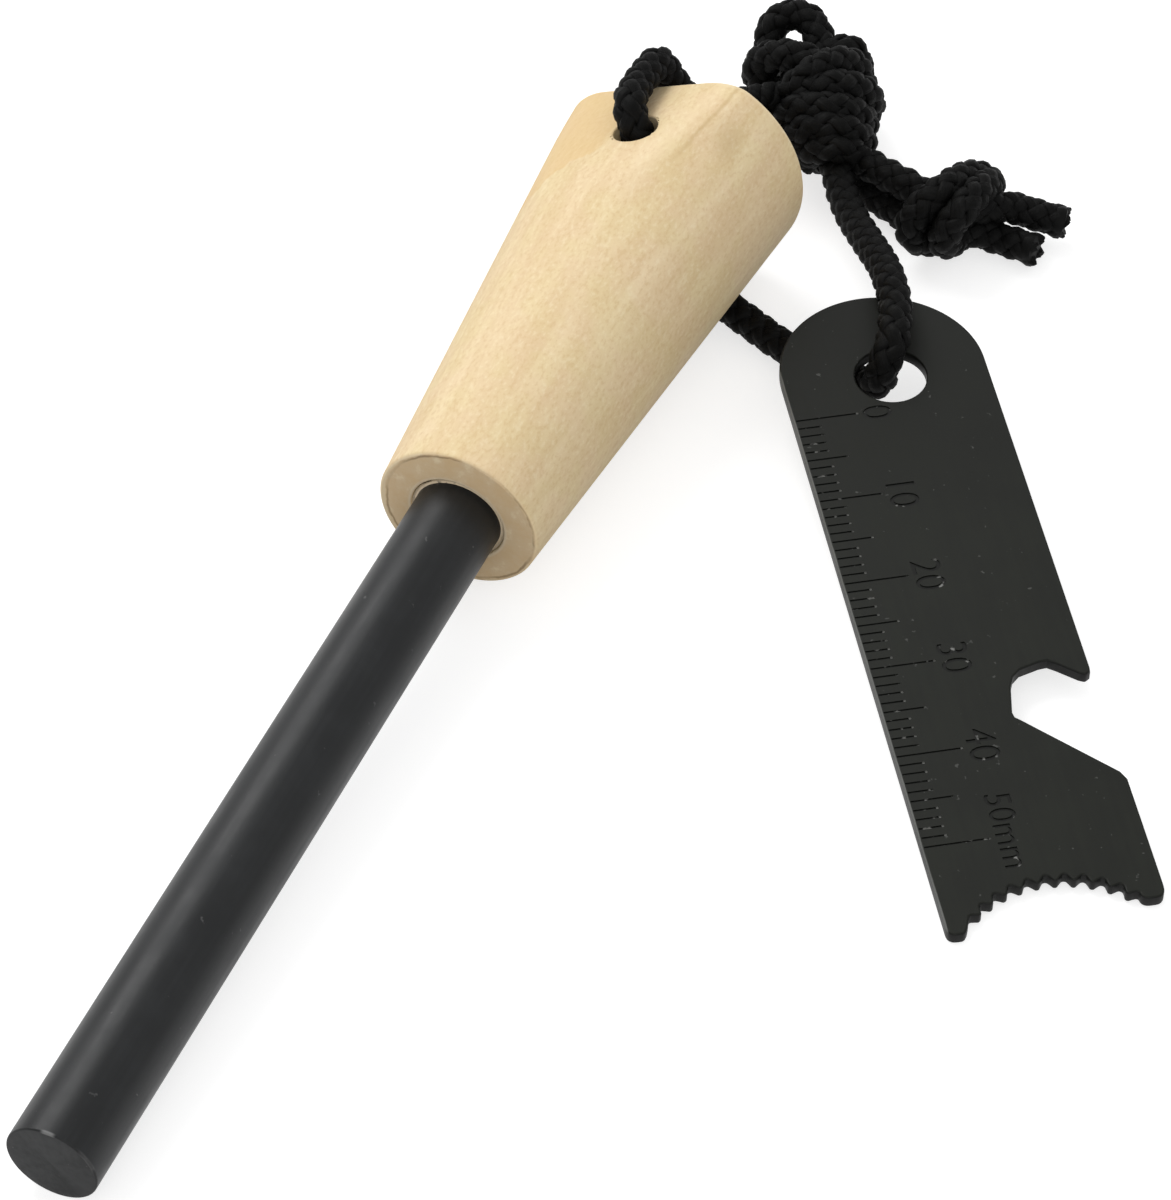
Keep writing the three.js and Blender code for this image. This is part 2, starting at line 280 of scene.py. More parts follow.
# The strand that winds twice round both tails
STOPPER_KNOT_TURNS = [
    (-0.0732, -0.0063, 0.0022),
    (-0.0712, -0.0071, 0.0020),
    (-0.0697, -0.0080, 0.0026),
    (-0.0689, -0.0087, 0.0040),
    (-0.0690, -0.0085, 0.0058),
    (-0.0699, -0.0076, 0.0072),
    (-0.0713, -0.0066, 0.0079),
    (-0.0738, -0.0060, 0.0074),
    (-0.0764, -0.0054, 0.0062),
    (-0.0780, -0.0047, 0.0046),
    (-0.0778, -0.0045, 0.0030),
    (-0.0760, -0.0049, 0.0018),
    (-0.0732, -0.0053, 0.0017),
    (-0.0705, -0.0054, 0.0026),
    (-0.0688, -0.0054, 0.0042),
    (-0.0689, -0.0049, 0.0060),
    (-0.0700, -0.0042, 0.0073),
    (-0.0723, -0.0038, 0.0075),
    (-0.0754, -0.0038, 0.0064),
    (-0.0775, -0.0041, 0.0048),
    (-0.0773, -0.0043, 0.0032),
]


def length_setting(name, description, default):
    """A length that can be set in the sidebar."""
    return FloatProperty(name=name, description=description, default=default, unit="LENGTH")


def angle_setting(name, description, degrees):
    """An angle that can be set in the sidebar, its default in degrees."""
    return FloatProperty(name=name, description=description, default=math.radians(degrees), subtype="ANGLE")


def colour_setting(name, description, default):
    """A colour that can be set in the sidebar."""
    return FloatVectorProperty(name=name, description=description, default=default, subtype="COLOR", size=3)


class HandleSettings(bpy.types.PropertyGroup):
    """Sizes and colours of the wooden handle"""

    length: length_setting("Length", "From face to butt", 51.1 * MM)
    small_radius: length_setting("Small radius", "At the rod", 7.5 * MM)
    butt_radius: length_setting("Butt radius", "At the cord", 11.7 * MM)
    from_tip: length_setting("From tip", "Rod tip to the small face", 75 * MM)
    lean: angle_setting("Lean", "Grip against rod", -0.35)
    flat_depth: length_setting("Flat depth", "At the butt", 3.6 * MM)
    flat_length: length_setting("Flat length", "From the butt", 13.6 * MM)
    flat_angle: angle_setting("Flat angle", "Turn of the flat about the axis", 113.6)
    rim_round: length_setting("Rim round", "Radius of the edges", 1.1 * MM)
    hole_radius: length_setting("Hole radius", "Of the cord hole", 2.1 * MM)
    hole_from_butt: length_setting("Hole from butt", "Cord hole to the butt", 8.8 * MM)
    hole_off_axis: length_setting("Hole off axis", "Cord hole beside the axis", 2.45 * MM)
    bore_radius: length_setting("Bore radius", "Round the rod", 4.4 * MM)
    bore_depth: length_setting("Bore depth", "Behind the face", 25.8 * MM)
    colour: colour_setting("Colour", "Of the wood", (0.79, 0.625, 0.375))
    dark_colour: colour_setting("Dark colour", "Of the darker grain", (0.62, 0.42, 0.21))
    end_colour: colour_setting("End colour", "Of the end grain", (0.66, 0.50, 0.31))


class RodSettings(bpy.types.PropertyGroup):
    """Sizes and colours of the rod and its glue"""

    radius: length_setting("Radius", "Of the rod", 4 * MM)
    length: length_setting("Length", "Whole rod", 100 * MM)
    tip_round: length_setting("Tip round", "Edge of the tip", 0.16 * MM)
    colour: colour_setting("Colour", "Of the coating", (0.0100, 0.0108, 0.0116))
    # The rim's colour serves its wear, the bright specks and the painted highlight on its top
    rim_wear_and_highlight_colour: colour_setting("Rim colour", "Of the rubbed tip edge", (0.16, 0.16, 0.16))
    glue_colour: colour_setting("Glue colour", "Of the glue", (0.62, 0.50, 0.34))
    glue_lean: length_setting("Glue lean", "How far the glue sinks on one side", 0.25 * MM)


class StrikerSettings(bpy.types.PropertyGroup):
    """Sizes and colours of the striker plate"""

    width: length_setting("Width", "Across the plate", 18.8 * MM)
    length: length_setting("Length", "End to long foot", 73.8 * MM)
    thickness: length_setting("Thickness", "Of the sheet", 1.2 * MM)
    hole_radius: length_setting("Hole radius", "Of the cord hole", 3.25 * MM)
    hole_from_end: length_setting("Hole from end", "Hole to the round end", 10.25 * MM)
    hole_off_centre: length_setting("Hole off centre", "Towards the notch", 0.5 * MM)
    teeth: IntProperty(name="Teeth", description="Teeth of the scraper curve", default=10)
    tooth_height: length_setting("Tooth height", "Above the gullets", 0.7 * MM)
    serration_span: angle_setting("Serration span", "Angle of the curve", 93)
    edge_round: length_setting("Edge round", "Worn edges", 0.2 * MM)
    mark_depth: length_setting("Mark depth", "Of the ruler's marks", 0.09 * MM)
    # Glint colour: bare steel in the marks, bright as painted glints
    glint_colour: colour_setting("Glint colour", "Of bare steel in the marks", (0.20, 0.20, 0.19))
    # Also the colour of the painted highlight on the ruler's rounded edge
    worn_and_highlight_colour: colour_setting("Worn colour", "Of the rubbed ruler edge", (0.16, 0.163, 0.155))
    colour: colour_setting("Colour", "Of the black oxide", (0.0064, 0.0075, 0.0050))


class CordSettings(bpy.types.PropertyGroup):
    """Sizes and colours of the braided cord"""

    diameter: length_setting("Diameter", "Of the cord", 3.3 * MM)
    yarns: IntProperty(name="Yarns each way", description="Of the braid", default=4)
    lay: length_setting("Lay", "Length of one turn of a yarn", 8 * MM)
    yarn_width: length_setting("Yarn width", "Across a yarn", 1.42 * MM)
    yarn_thickness: length_setting("Yarn thickness", "Of a yarn", 0.8 * MM)
    weave_depth: length_setting("Weave depth", "Over and under", 0.2 * MM)
    colour: colour_setting("Colour", "Of the cord", (0.0028, 0.0028, 0.0027))


class StageSettings(bpy.types.PropertyGroup):
    """The floor and the light"""

    floor_size: length_setting("Floor size", "Side of the floor", 3)
    floor_colour: colour_setting("Floor colour", "Of the floor", (0.52, 0.52, 0.52))
    floor_glow: FloatProperty(name="Floor glow", description="Lifts the floor to white", default=0.68)
    key_power: FloatProperty(name="Key power", description="Key lamp in watts", default=4.7, unit="POWER")
    fill_power: FloatProperty(name="Fill power", description="Fill lamp in watts", default=1.8, unit="POWER")
    world_level: FloatProperty(name="World level", description="Even light", default=0.7)


def add_node(tree, kind, inputs=None, **settings):
    """A node of a tree with its settings, and values or links for its inputs by name or number."""
    node = tree.nodes.new(kind)
    for name, value in settings.items():
        setattr(node, name, value)
    set_inputs(tree, node, inputs or {})
    return node


def set_inputs(tree, node, inputs):
    """Values or links for a node's inputs, by name or number."""
    for name, value in inputs.items():
        set_input(tree, node.inputs[name], value)


def set_input(tree, socket, value):
    """A link where the value is a socket, and a constant otherwise."""
    if isinstance(value, bpy.types.NodeSocket):
        tree.links.new(value, socket)
    elif socket.type == "RGBA" and len(value) == 3:
        socket.default_value = (*value, 1)
    else:
        socket.default_value = value


def maths(tree, operation, *values):
    """The result of one calculation."""
    node = add_node(tree, "ShaderNodeMath", operation=operation)
    for socket, value in zip(node.inputs, values):
        set_input(tree, socket, value)
    return node.outputs[0]


def total(tree, first, *others):
    """The values added up, from the first on."""
    for value in others:
        first = maths(tree, "ADD", first, value)
    return first


def product(tree, first, *others):
    """The values multiplied, from the first on."""
    for value in others:
        first = maths(tree, "MULTIPLY", first, value)
    return first


def vector_maths(tree, operation, *values):
    """The result of one calculation on vectors."""
    node = add_node(tree, "ShaderNodeVectorMath", operation=operation)
    sockets = [node.inputs[0], node.inputs["Scale"]] if operation == "SCALE" else node.inputs
    for socket, value in zip(sockets, values):
        set_input(tree, socket, value)
    return node.outputs["Value" if operation in ("DOT_PRODUCT", "LENGTH", "DISTANCE") else "Vector"]


def vector_of(tree, x, y=0.0, z=0.0):
    """A vector made of three numbers."""
    return add_node(tree, "ShaderNodeCombineXYZ", {0: x, 1: y, 2: z}).outputs["Vector"]


def part_of(tree, vector, axis):
    """One of a vector's three numbers."""
    return add_node(tree, "ShaderNodeSeparateXYZ", {0: vector}).outputs[axis]


def from_x_axis(tree, vector):
    """How far a point is from the X axis."""
    return vector_maths(tree, "LENGTH", vector_maths(tree, "MULTIPLY", vector, (0.0, 1.0, 1.0)))


def spread_between(tree, value, low, high, new_low=0.0, new_high=1.0):
    """A value carried smoothly from one range to another."""
    names = ("Value", "From Min", "From Max", "To Min", "To Max")
    inputs = dict(zip(names, (value, low, high, new_low, new_high)))
    return add_node(tree, "ShaderNodeMapRange", inputs, interpolation_type="SMOOTHSTEP").outputs["Result"]


def noise(tree, vector, scale, detail=3, roughness=0.55, distortion=0.0):
    """A noise pattern's value."""
    inputs = {"Vector": vector, "Scale": scale, "Detail": detail, "Roughness": roughness}
    inputs["Distortion"] = distortion
    return add_node(tree, "ShaderNodeTexNoise", inputs).outputs["Fac"]


def blend_colours(tree, factor, first, second):
    """Two colours mixed."""
    node = add_node(tree, "ShaderNodeMix", data_type="RGBA", blend_type="MIX")
    sockets = [s for s in node.inputs if s.enabled]
    for socket, value in zip(sockets, (factor, first, second)):
        set_input(tree, socket, value)
    return [s for s in node.outputs if s.enabled][0]


def toned(colour, times):
    """A colour made darker or lighter."""
    return tuple(min(1, times * c) for c in colour)


def bump(tree, height, strength, distance):
    """The surface's normal bent by a height."""
    inputs = {"Height": height, "Strength": strength, "Distance": distance}
    return add_node(tree, "ShaderNodeBump", inputs).outputs["Normal"]


def turned_coordinates(tree, place):
    """Object coordinates seen in a piece's own frame."""
    source = add_node(tree, "ShaderNodeTexCoord").outputs["Object"]
    inputs = {"Vector": source, "Location": place.to_translation(), "Rotation": place.to_euler()}
    return add_node(tree, "ShaderNodeMapping", inputs, vector_type="TEXTURE").outputs["Vector"]


def new_material(name):
    """A material with a plain principled shader: the material, its tree and the shader."""
    material = bpy.data.materials.new(name)
    material.use_nodes = True
    tree = material.node_tree
    return material, tree, tree.nodes["Principled BSDF"]


def set_surface(tree, shader, colour, roughness, reflection=0.5, normal=None):
    """Gives a shader its colour, roughness, strength of reflection and, where there is one, a bent normal."""
    inputs = {"Base Color": colour, "Roughness": roughness, "Specular IOR Level": reflection}
    set_inputs(tree, shader, inputs if normal is None else {**inputs, "Normal": normal})


def new_object(name, mesh, material=None):
    """An object with that mesh in the scene."""
    piece = bpy.data.objects.new(name, mesh)
    bpy.context.scene.collection.objects.link(piece)
    if material is not None and material.name not in mesh.materials:
        mesh.materials.append(material)
    return piece


# How near each other two points are one point: as they are made, in a figure of the ruler, and after a cut
NEAR = 1e-7
NEAR_IN_FIGURE = 1e-6
NEAR_AFTER_CUT = 2e-6


def weld(mesh, reach):
    """Joins the points that lie within that reach, and turns the faces out."""
    work = bmesh.new()
    work.from_mesh(mesh)
    bmesh.ops.remove_doubles(work, verts=work.verts, dist=reach)
    bmesh.ops.recalc_face_normals(work, faces=work.faces)
    work.to_mesh(mesh)
    work.free()


def mesh_of(name, points, faces):
    """A mesh of points and faces, with its faces turned out."""
    mesh = bpy.data.meshes.new(name)
    mesh.from_pydata([tuple(p) for p in points], [], faces)
    weld(mesh, NEAR)
    return mesh


def finished_mesh(piece, name):
    """The mesh that a piece's modifiers make, as a new plain mesh."""
    graph = bpy.context.evaluated_depsgraph_get()
    mesh = bpy.data.meshes.new_from_object(piece.evaluated_get(graph), depsgraph=graph)
    mesh.name = name
    return mesh


def apply_modifiers(piece):
    """Gives a piece the mesh that its modifiers make."""
    mesh = finished_mesh(piece, piece.name)
    piece.modifiers.clear()
    piece.data = mesh


def drop(*pieces):
    """Takes helper objects away."""
    for piece in pieces:
        bpy.data.objects.remove(piece, do_unlink=True)


def smooth_with_creases(mesh, degrees):
    """Smooth shading that keeps the edges sharper than an angle."""
    for polygon in mesh.polygons:
        polygon.use_smooth = True
    mesh.set_sharp_from_angle(angle=math.radians(degrees))


# How finely a centreline is followed between two of its points
PATH_FINENESS = 24


def smooth_path(points, step):
    """A centreline through the points, with points about a step apart."""
    rows = np.array(points, dtype=float)
    rows = np.vstack([2 * rows[0] - rows[1], rows, 2 * rows[-1] - rows[-2]])
    fine = []
    share = np.linspace(0, 1, PATH_FINENESS, endpoint=False)[:, None]
    for a, b, c, d in zip(rows[:-3], rows[1:-2], rows[2:-1], rows[3:]):
        bend = 2 * a - 5 * b + 4 * c - d
        twist = 3 * b - a - 3 * c + d
        fine.append(0.5 * (2 * b + (c - a) * share + bend * share**2 + twist * share**3))
    fine = np.vstack([*fine, rows[-2:-1]])
    along = np.concatenate([[0], np.cumsum(np.linalg.norm(np.diff(fine, axis=0), axis=1))])
    stations = np.linspace(0, along[-1], max(2, round(along[-1] / step)) + 1)
    return np.stack([np.interp(stations, along, fine[:, k]) for k in range(3)], axis=1)


def ring_faces(rings, segments):
    """The faces between rings of points that follow each other."""
    faces = []
    for ring in range(rings - 1):
        for k in range(segments):
            after = (k + 1) % segments
            low, high = ring * segments, (ring + 1) * segments
            faces.append((low + k, low + after, high + after, high + k))
    return faces


def revolved(profile, segments):
    """Points and faces of a profile of (x, radius) turned about X, its ends on the axis."""
    points = []
    angles = np.linspace(0, 2 * math.pi, segments, endpoint=False)
    for x, radius in profile:
        points += [(x, radius * math.cos(a), radius * math.sin(a)) for a in angles]
    return points, ring_faces(len(profile), segments)


def quarter_arc(centre_x, centre_radius, radius, steps):
    """Points of a quarter round, from straight out to straight ahead, as (x, radius)."""
    angles = np.radians(np.linspace(90, 0, steps))
    return [(centre_x + radius * math.cos(a), centre_radius + radius * math.sin(a)) for a in angles]


def geometry(tree, kind, inputs, **settings):
    """The geometry that one node makes."""
    node = add_node(tree, "GeometryNode" + kind, inputs, **settings)
    return next(socket for socket in node.outputs if socket.type == "GEOMETRY")


def held_fields(tree, shape, fields):
    """A geometry with fields of its own points held on it, and those fields, in order."""
    node = add_node(tree, "GeometryNodeCaptureAttribute", {"Geometry": shape})
    for name, (kind, field) in fields.items():
        node.capture_items.new(kind, name)
        tree.links.new(field, node.inputs[name])
    return node.outputs["Geometry"], *(node.outputs[name] for name in fields)


def new_group(name, numbers, whole):
    """A node group that takes a shape, numbers, a whole number and a material: its tree and its inputs."""
    tree = bpy.data.node_groups.new(name, "GeometryNodeTree")
    sockets = [("Geometry", "Geometry"), *((number, "Float") for number in numbers)]
    for label, kind in (*sockets, (whole, "Int"), ("Material", "Material")):
        tree.interface.new_socket(label, in_out="INPUT", socket_type="NodeSocket" + kind)
    tree.interface.new_socket("Geometry", in_out="OUTPUT", socket_type="NodeSocketGeometry")
    return tree, add_node(tree, "NodeGroupInput").outputs


def finish_group(tree, shape, material):
    """Gives the group's result a material, as plain geometry."""
    shape = geometry(tree, "RealizeInstances", {"Geometry": shape})
    shape = geometry(tree, "SetMaterial", {"Geometry": shape, "Material": material})
    add_node(tree, "NodeGroupOutput", {"Geometry": shape})


# The braid: how far apart a yarn's rings of points are, the core's share of the cord, and the sides of a
# yarn and of the core
CORD_STEP = 0.3 * MM
CORE_SHARE = 0.52
YARN_SIDES = 8
CORE_SIDES = 10


def braid_tree():
    """A braid along each curve of a wire mesh: yarns that cross over and under, round a core."""
    sizes = ("Step", "Lay", "Middle Radius", "Weave Depth", "Yarn Width", "Yarn Thickness", "Core Radius")
    tree, given = new_group("cord_braid", sizes, "Yarns")
    curve = geometry(tree, "MeshToCurve", {"Mesh": given["Geometry"]})
    curve = geometry(tree, "ResampleCurve", {"Curve": curve, "Length": given["Step"]}, mode="LENGTH")
    fields = {
        "Normal": ("VECTOR", add_node(tree, "GeometryNodeInputNormal").outputs[0]),
        "Tangent": ("VECTOR", add_node(tree, "GeometryNodeInputTangent").outputs[0]),
        "Along": ("FLOAT", add_node(tree, "GeometryNodeSplineParameter").outputs["Length"]),
    }
    line, normal, tangent, along = held_fields(tree, curve, fields)
    wanted = {"Geometry": line, "Amount": product(tree, given["Yarns"], 2.0)}
    copies = add_node(tree, "GeometryNodeDuplicateElements", wanted, domain="SPLINE")
    number = copies.outputs["Duplicate Index"]
    family = maths(tree, "FLOOR", maths(tree, "DIVIDE", total(tree, number, 0.5), given["Yarns"]))
    way = maths(tree, "SUBTRACT", 1.0, product(tree, family, 2.0))
    turn = product(tree, maths(tree, "DIVIDE", along, given["Lay"]), 2 * math.pi)
    start = maths(tree, "DIVIDE", product(tree, number, 2 * math.pi), given["Yarns"])
    angle = total(tree, start, product(tree, way, turn))
    weave = product(tree, way, maths(tree, "COSINE", product(tree, turn, given["Yarns"])))
    radius = total(tree, given["Middle Radius"], product(tree, weave, given["Weave Depth"]))
    side = vector_maths(tree, "CROSS_PRODUCT", tangent, normal)
    ahead = vector_maths(tree, "SCALE", normal, maths(tree, "COSINE", angle))
    beside = vector_maths(tree, "SCALE", side, maths(tree, "SINE", angle))
    outward = vector_maths(tree, "ADD", ahead, beside)
    offset = vector_maths(tree, "SCALE", outward, radius)
    moved = geometry(tree, "SetPosition", {"Geometry": copies.outputs["Geometry"], "Offset": offset})
    facing = geometry(tree, "SetCurveNormal", {"Curve": moved, "Normal": outward}, mode="FREE")
    whole = {"Resolution": YARN_SIDES, "Radius": 0.5}
    circle = geometry(tree, "CurvePrimitiveCircle", whole, mode="RADIUS")
    size = vector_of(tree, given["Yarn Thickness"], given["Yarn Width"], 1.0)
    section = geometry(tree, "Transform", {"Geometry": circle, "Scale": size})
    around = add_node(tree, "GeometryNodeSplineParameter").outputs["Factor"]
    section, around = held_fields(tree, section, {"Around": ("FLOAT", around)})
    yarn = geometry(tree, "CurveToMesh", {"Curve": facing, "Profile Curve": section, "Fill Caps": True})
    named = {"Geometry": yarn, "Name": "yarn", "Value": vector_of(tree, around, along, number)}
    yarn = geometry(tree, "StoreNamedAttribute", named, data_type="FLOAT_VECTOR", domain="POINT")
    wide = {"Resolution": CORE_SIDES, "Radius": given["Core Radius"]}
    circle = geometry(tree, "CurvePrimitiveCircle", wide, mode="RADIUS")
    core = geometry(tree, "CurveToMesh", {"Curve": line, "Profile Curve": circle, "Fill Caps": True})
    joined = add_node(tree, "GeometryNodeJoinGeometry", {"Geometry": yarn})
    tree.links.new(core, joined.inputs["Geometry"])
    soft = geometry(tree, "SetShadeSmooth", {"Geometry": joined.outputs["Geometry"]})
    finish_group(tree, soft, given["Material"])
    return tree


def run_tree(piece, tree, values):
    """A piece's mesh after a tree with those inputs, as a plain mesh."""
    modifier = piece.modifiers.new("shape", "NODES")
    modifier.node_group = tree
    sockets = {item.name: item.identifier for item in tree.interface.items_tree if item.in_out == "INPUT"}
    for name, value in values.items():
        modifier[sockets[name]] = value
    return finished_mesh(piece, piece.name)


def braided(name, lines, settings, material):
    """Braided cord along each line, as one piece."""
    points, edges = [], []
    for line in lines:
        edges += [(len(points) + k, len(points) + k + 1) for k in range(len(line) - 1)]
        points += [tuple(p) for p in line]
    wire = bpy.data.meshes.new(name + "_line")
    wire.from_pydata(points, edges, [])
    guide = new_object(name + "_guide", wire)
    outer = settings.diameter / 2 - settings.yarn_thickness / 2 - settings.weave_depth
    tree = bpy.data.node_groups.get("cord_braid") or braid_tree()
    values = {
        "Step": CORD_STEP,
        "Lay": settings.lay,
        "Middle Radius": outer,
        "Weave Depth": settings.weave_depth,
        "Yarn Width": settings.yarn_width,
        "Yarn Thickness": settings.yarn_thickness,
        "Core Radius": CORE_SHARE * settings.diameter / 2,
        "Yarns": settings.yarns,
        "Material": material,
    }
    mesh = run_tree(guide, tree, values)
    drop(guide)
    return new_object(name, mesh)


# The melted plug that ends a cord: its length, its radius as a share of the cord's width, how lumpy it is,
# and how many points back from the end its direction is measured
PLUG_LENGTH = 1.1 * MM
PLUG_SHARE = 0.49
PLUG_RIPPLE = 0.05
PLUG_POINTS_BACK = 8
PLUG_SIDES = 36
# Its profile: along it from the cord's end, and out, as shares of its length and radius
PLUG_PROFILE = [(-1, 0), (-1, 0.9), (-0.5, 1), (-0.12, 0.97), (0, 0.8), (0.05, 0.4), (0.05, 0)]


def melted_end(line, radius):
    """The melted end of a cord: a short blunt plug in line with it, a little lumpy."""
    end = Vector(line[-1])
    way = (end - Vector(line[-PLUG_POINTS_BACK])).normalized()
    profile = [(along * PLUG_LENGTH, out * radius) for along, out in PLUG_PROFILE]
    points, faces = revolved(profile, PLUG_SIDES)
    turn = Matrix.Translation(end) @ way.to_track_quat("X", "Z").to_matrix().to_4x4()
    lumpy = []
    for x, y, z in points:
        angle = math.atan2(z, y)
        lumps = math.sin(3 * angle + 1) + 0.6 * math.sin(5 * angle + 900 * x)
        swell = 1 + PLUG_RIPPLE * lumps
        lumpy.append(turn @ Vector((x, y * swell, z * swell)))
    return lumpy, faces


def add_to_mesh(piece, points, faces):
    """Joins another closed shell to a piece's mesh, in the piece's first material."""
    work = bmesh.new()
    work.from_mesh(piece.data)
    own = piece.data.polygons[0].material_index
    extra = mesh_of("extra", points, faces)
    smooth_with_creases(extra, 50)
    count = len(work.faces)
    work.from_mesh(extra)
    work.faces.ensure_lookup_table()
    for face in work.faces[count:]:
        face.material_index = own
    work.to_mesh(piece.data)
    work.free()
    bpy.data.meshes.remove(extra)


# How many of the noise's cells go round a yarn, into a metre of it and from one yarn to the next
FILAMENT_STRETCH = (34.0, 900.0, 7.0)


def cord_material(settings):
    """Black nylon yarn: fine filaments along each yarn, with a soft sheen."""
    material, tree, shader = new_material("black_cord")
    label = add_node(tree, "ShaderNodeAttribute", attribute_name="yarn").outputs["Vector"]
    filaments = noise(tree, vector_maths(tree, "MULTIPLY", label, FILAMENT_STRETCH), 1.0, detail=4)
    cloud = noise(tree, add_node(tree, "ShaderNodeTexCoord").outputs["Object"], 420.0)
    amount = spread_between(tree, product(tree, filaments, total(tree, cloud, 0.5)), 0.35, 0.85)
    colour = blend_colours(tree, amount, tuple(settings.colour), toned(settings.colour, 2.6))
    normal = bump(tree, filaments, 0.55, 0.12 * MM)
    set_surface(tree, shader, colour, 0.55, 0.08, normal)
    return material


# The grip's rounded edges, as shares of the rim's round: along the flat's sides, and at the small face
FLAT_ROUND_SHARE = 1.6
FACE_ROUND_SHARE = 0.2
# The grip's rings of points, close together at its rims: the first share, the last share and how many
BUTT_RINGS = (0, 0.6, 9)
BUTT_RIM_RINGS = (0.63, 1, 20)
NEAR_BUTT_RINGS = (0.05, 1, 16)
BODY_RINGS = 100
NEAR_FACE_RINGS = (0.95, 0, 24)
FACE_RINGS = (0.97, 0, 16)
HANDLE_SEGMENTS = 176
# How often the search for the surface halves its step
HALVINGS = 44


def flat_directions(settings):
    """Straight out of the grip's flat, and across it."""
    out = Vector((0, math.cos(settings.flat_angle), math.sin(settings.flat_angle)))
    return out, Vector((0, math.sin(settings.flat_angle), -math.cos(settings.flat_angle)))


def handle_surface(settings):
    """Signed distance from the turned, planed and sanded grip, in the fire steel's frame."""
    face_x = -settings.from_tip
    butt_x = face_x - settings.length
    slope = (settings.butt_radius - settings.small_radius) / settings.length
    out, across = flat_directions(settings)
    start = Vector((butt_x, 0, 0)) + out * (settings.butt_radius - settings.flat_depth)
    end_radius = settings.butt_radius - slope * settings.flat_length
    end = Vector((butt_x + settings.flat_length, 0, 0)) + out * end_radius
    along = (end - start).normalized()
    normal = -across.cross(along)

    def rounded(parts, radius):
        held = sum(np.maximum(radius + d, 0) ** 2 for d in parts)
        return np.minimum(-radius, np.maximum(*parts)) + np.sqrt(held)

    def distance(points):
        x, y, z = points[..., 0], points[..., 1], points[..., 2]
        cone = (np.hypot(y, z) - (settings.butt_radius - slope * (x - butt_x))) * math.cos(math.atan(slope))
        flat = (points - np.array(start)) @ np.array(normal)
        side = rounded([cone, flat], FLAT_ROUND_SHARE * settings.rim_round)
        ended = rounded([side, butt_x - x], settings.rim_round)
        return rounded([ended, x - face_x], FACE_ROUND_SHARE * settings.rim_round)

    return distance


def handle_profile(settings):
    """Where rays leave the axis and where they aim, from the butt's middle to the small face's middle."""
    face_x = -settings.from_tip
    butt_x = face_x - settings.length
    slope = (settings.butt_radius - settings.small_radius) / settings.length
    inset = settings.butt_radius / 2
    over_butt = (*np.linspace(*BUTT_RINGS), *np.linspace(*BUTT_RIM_RINGS))
    rays = [(butt_x + inset, butt_x, share * settings.butt_radius) for share in over_butt]
    near = np.linspace(*NEAR_BUTT_RINGS) * inset
    rays += [(butt_x + inset, butt_x + d, settings.butt_radius - slope * d) for d in near]
    body = np.linspace(butt_x + inset, face_x - inset, BODY_RINGS)[1:]
    rays += [(x, x, settings.butt_radius - slope * (x - butt_x)) for x in body]
    near = np.linspace(*NEAR_FACE_RINGS) * inset
    rays += [(face_x - inset, face_x - d, settings.small_radius + slope * d) for d in near]
    rays += [(face_x - inset, face_x, share * settings.small_radius) for share in np.linspace(*FACE_RINGS)]
    return rays


def handle_body(settings):
    """The grip without its holes, each point found on a ray from the axis, and its turn against the rod."""
    distance = handle_surface(settings)
    rays = handle_profile(settings)
    angles = np.linspace(0, 2 * math.pi, HANDLE_SEGMENTS, endpoint=False)
    start = np.array([[(x, 0, 0) for _ in angles] for x, _, _ in rays])
    aim = np.array([[(x, r * math.cos(a), r * math.sin(a)) for a in angles] for _, x, r in rays])
    way = aim - start
    way /= np.linalg.norm(way, axis=2, keepdims=True)
    low = np.zeros(way.shape[:2])
    high = np.full(way.shape[:2], 2 * settings.butt_radius)
    for _ in range(HALVINGS):
        middle = (low + high) / 2
        outside = distance(start + way * middle[..., None]) > 0
        high = np.where(outside, middle, high)
        low = np.where(outside, low, middle)
    points = (start + way * low[..., None]).reshape(-1, 3)
    face_x = -settings.from_tip
    turn = Matrix.Translation((face_x, 0, 0)) @ Matrix.Rotation(settings.lean, 4, "Z")
    turn = turn @ Matrix.Translation((-face_x, 0, 0))
    points = [turn @ Vector(p) for p in points]
    return mesh_of("handle_body", points, ring_faces(len(rays), HANDLE_SEGMENTS)), turn


def cut(piece, *cutters):
    """Cuts other objects out of a piece, and drops them."""
    for cutter in cutters:
        modifier = piece.modifiers.new("cut", "BOOLEAN")
        modifier.operation = "DIFFERENCE"
        modifier.solver = "MANIFOLD"
        modifier.object = cutter
        modifier.material_mode = "TRANSFER"
    apply_modifiers(piece)
    drop(*cutters)


def soften_edges(mesh, near, width):
    """Rounds the sharp edges that a test picks."""
    work = bmesh.new()
    work.from_mesh(mesh)
    bmesh.ops.remove_doubles(work, verts=work.verts, dist=NEAR_AFTER_CUT)
    picked = []
    for edge in work.edges:
        if len(edge.link_faces) == 2 and edge.calc_face_angle(0) > math.radians(40) and near(edge):
            picked.append(edge)
    bmesh.ops.bevel(
        work, geom=picked, offset=width, offset_type="OFFSET", segments=3, profile=0.5, affect="EDGES"
    )
    work.to_mesh(mesh)
    work.free()


# Colours of the wood's marks, besides the ones that can be set
PALE_STREAK = (0.87, 0.71, 0.46)
ROSY_WOOD = (0.79, 0.60, 0.40)
GREENISH_WOOD = (0.76, 0.63, 0.35)
PALE_FLECK = (0.9, 0.78, 0.55)
BAND_BESIDE_LINE = (0.88, 0.72, 0.47)
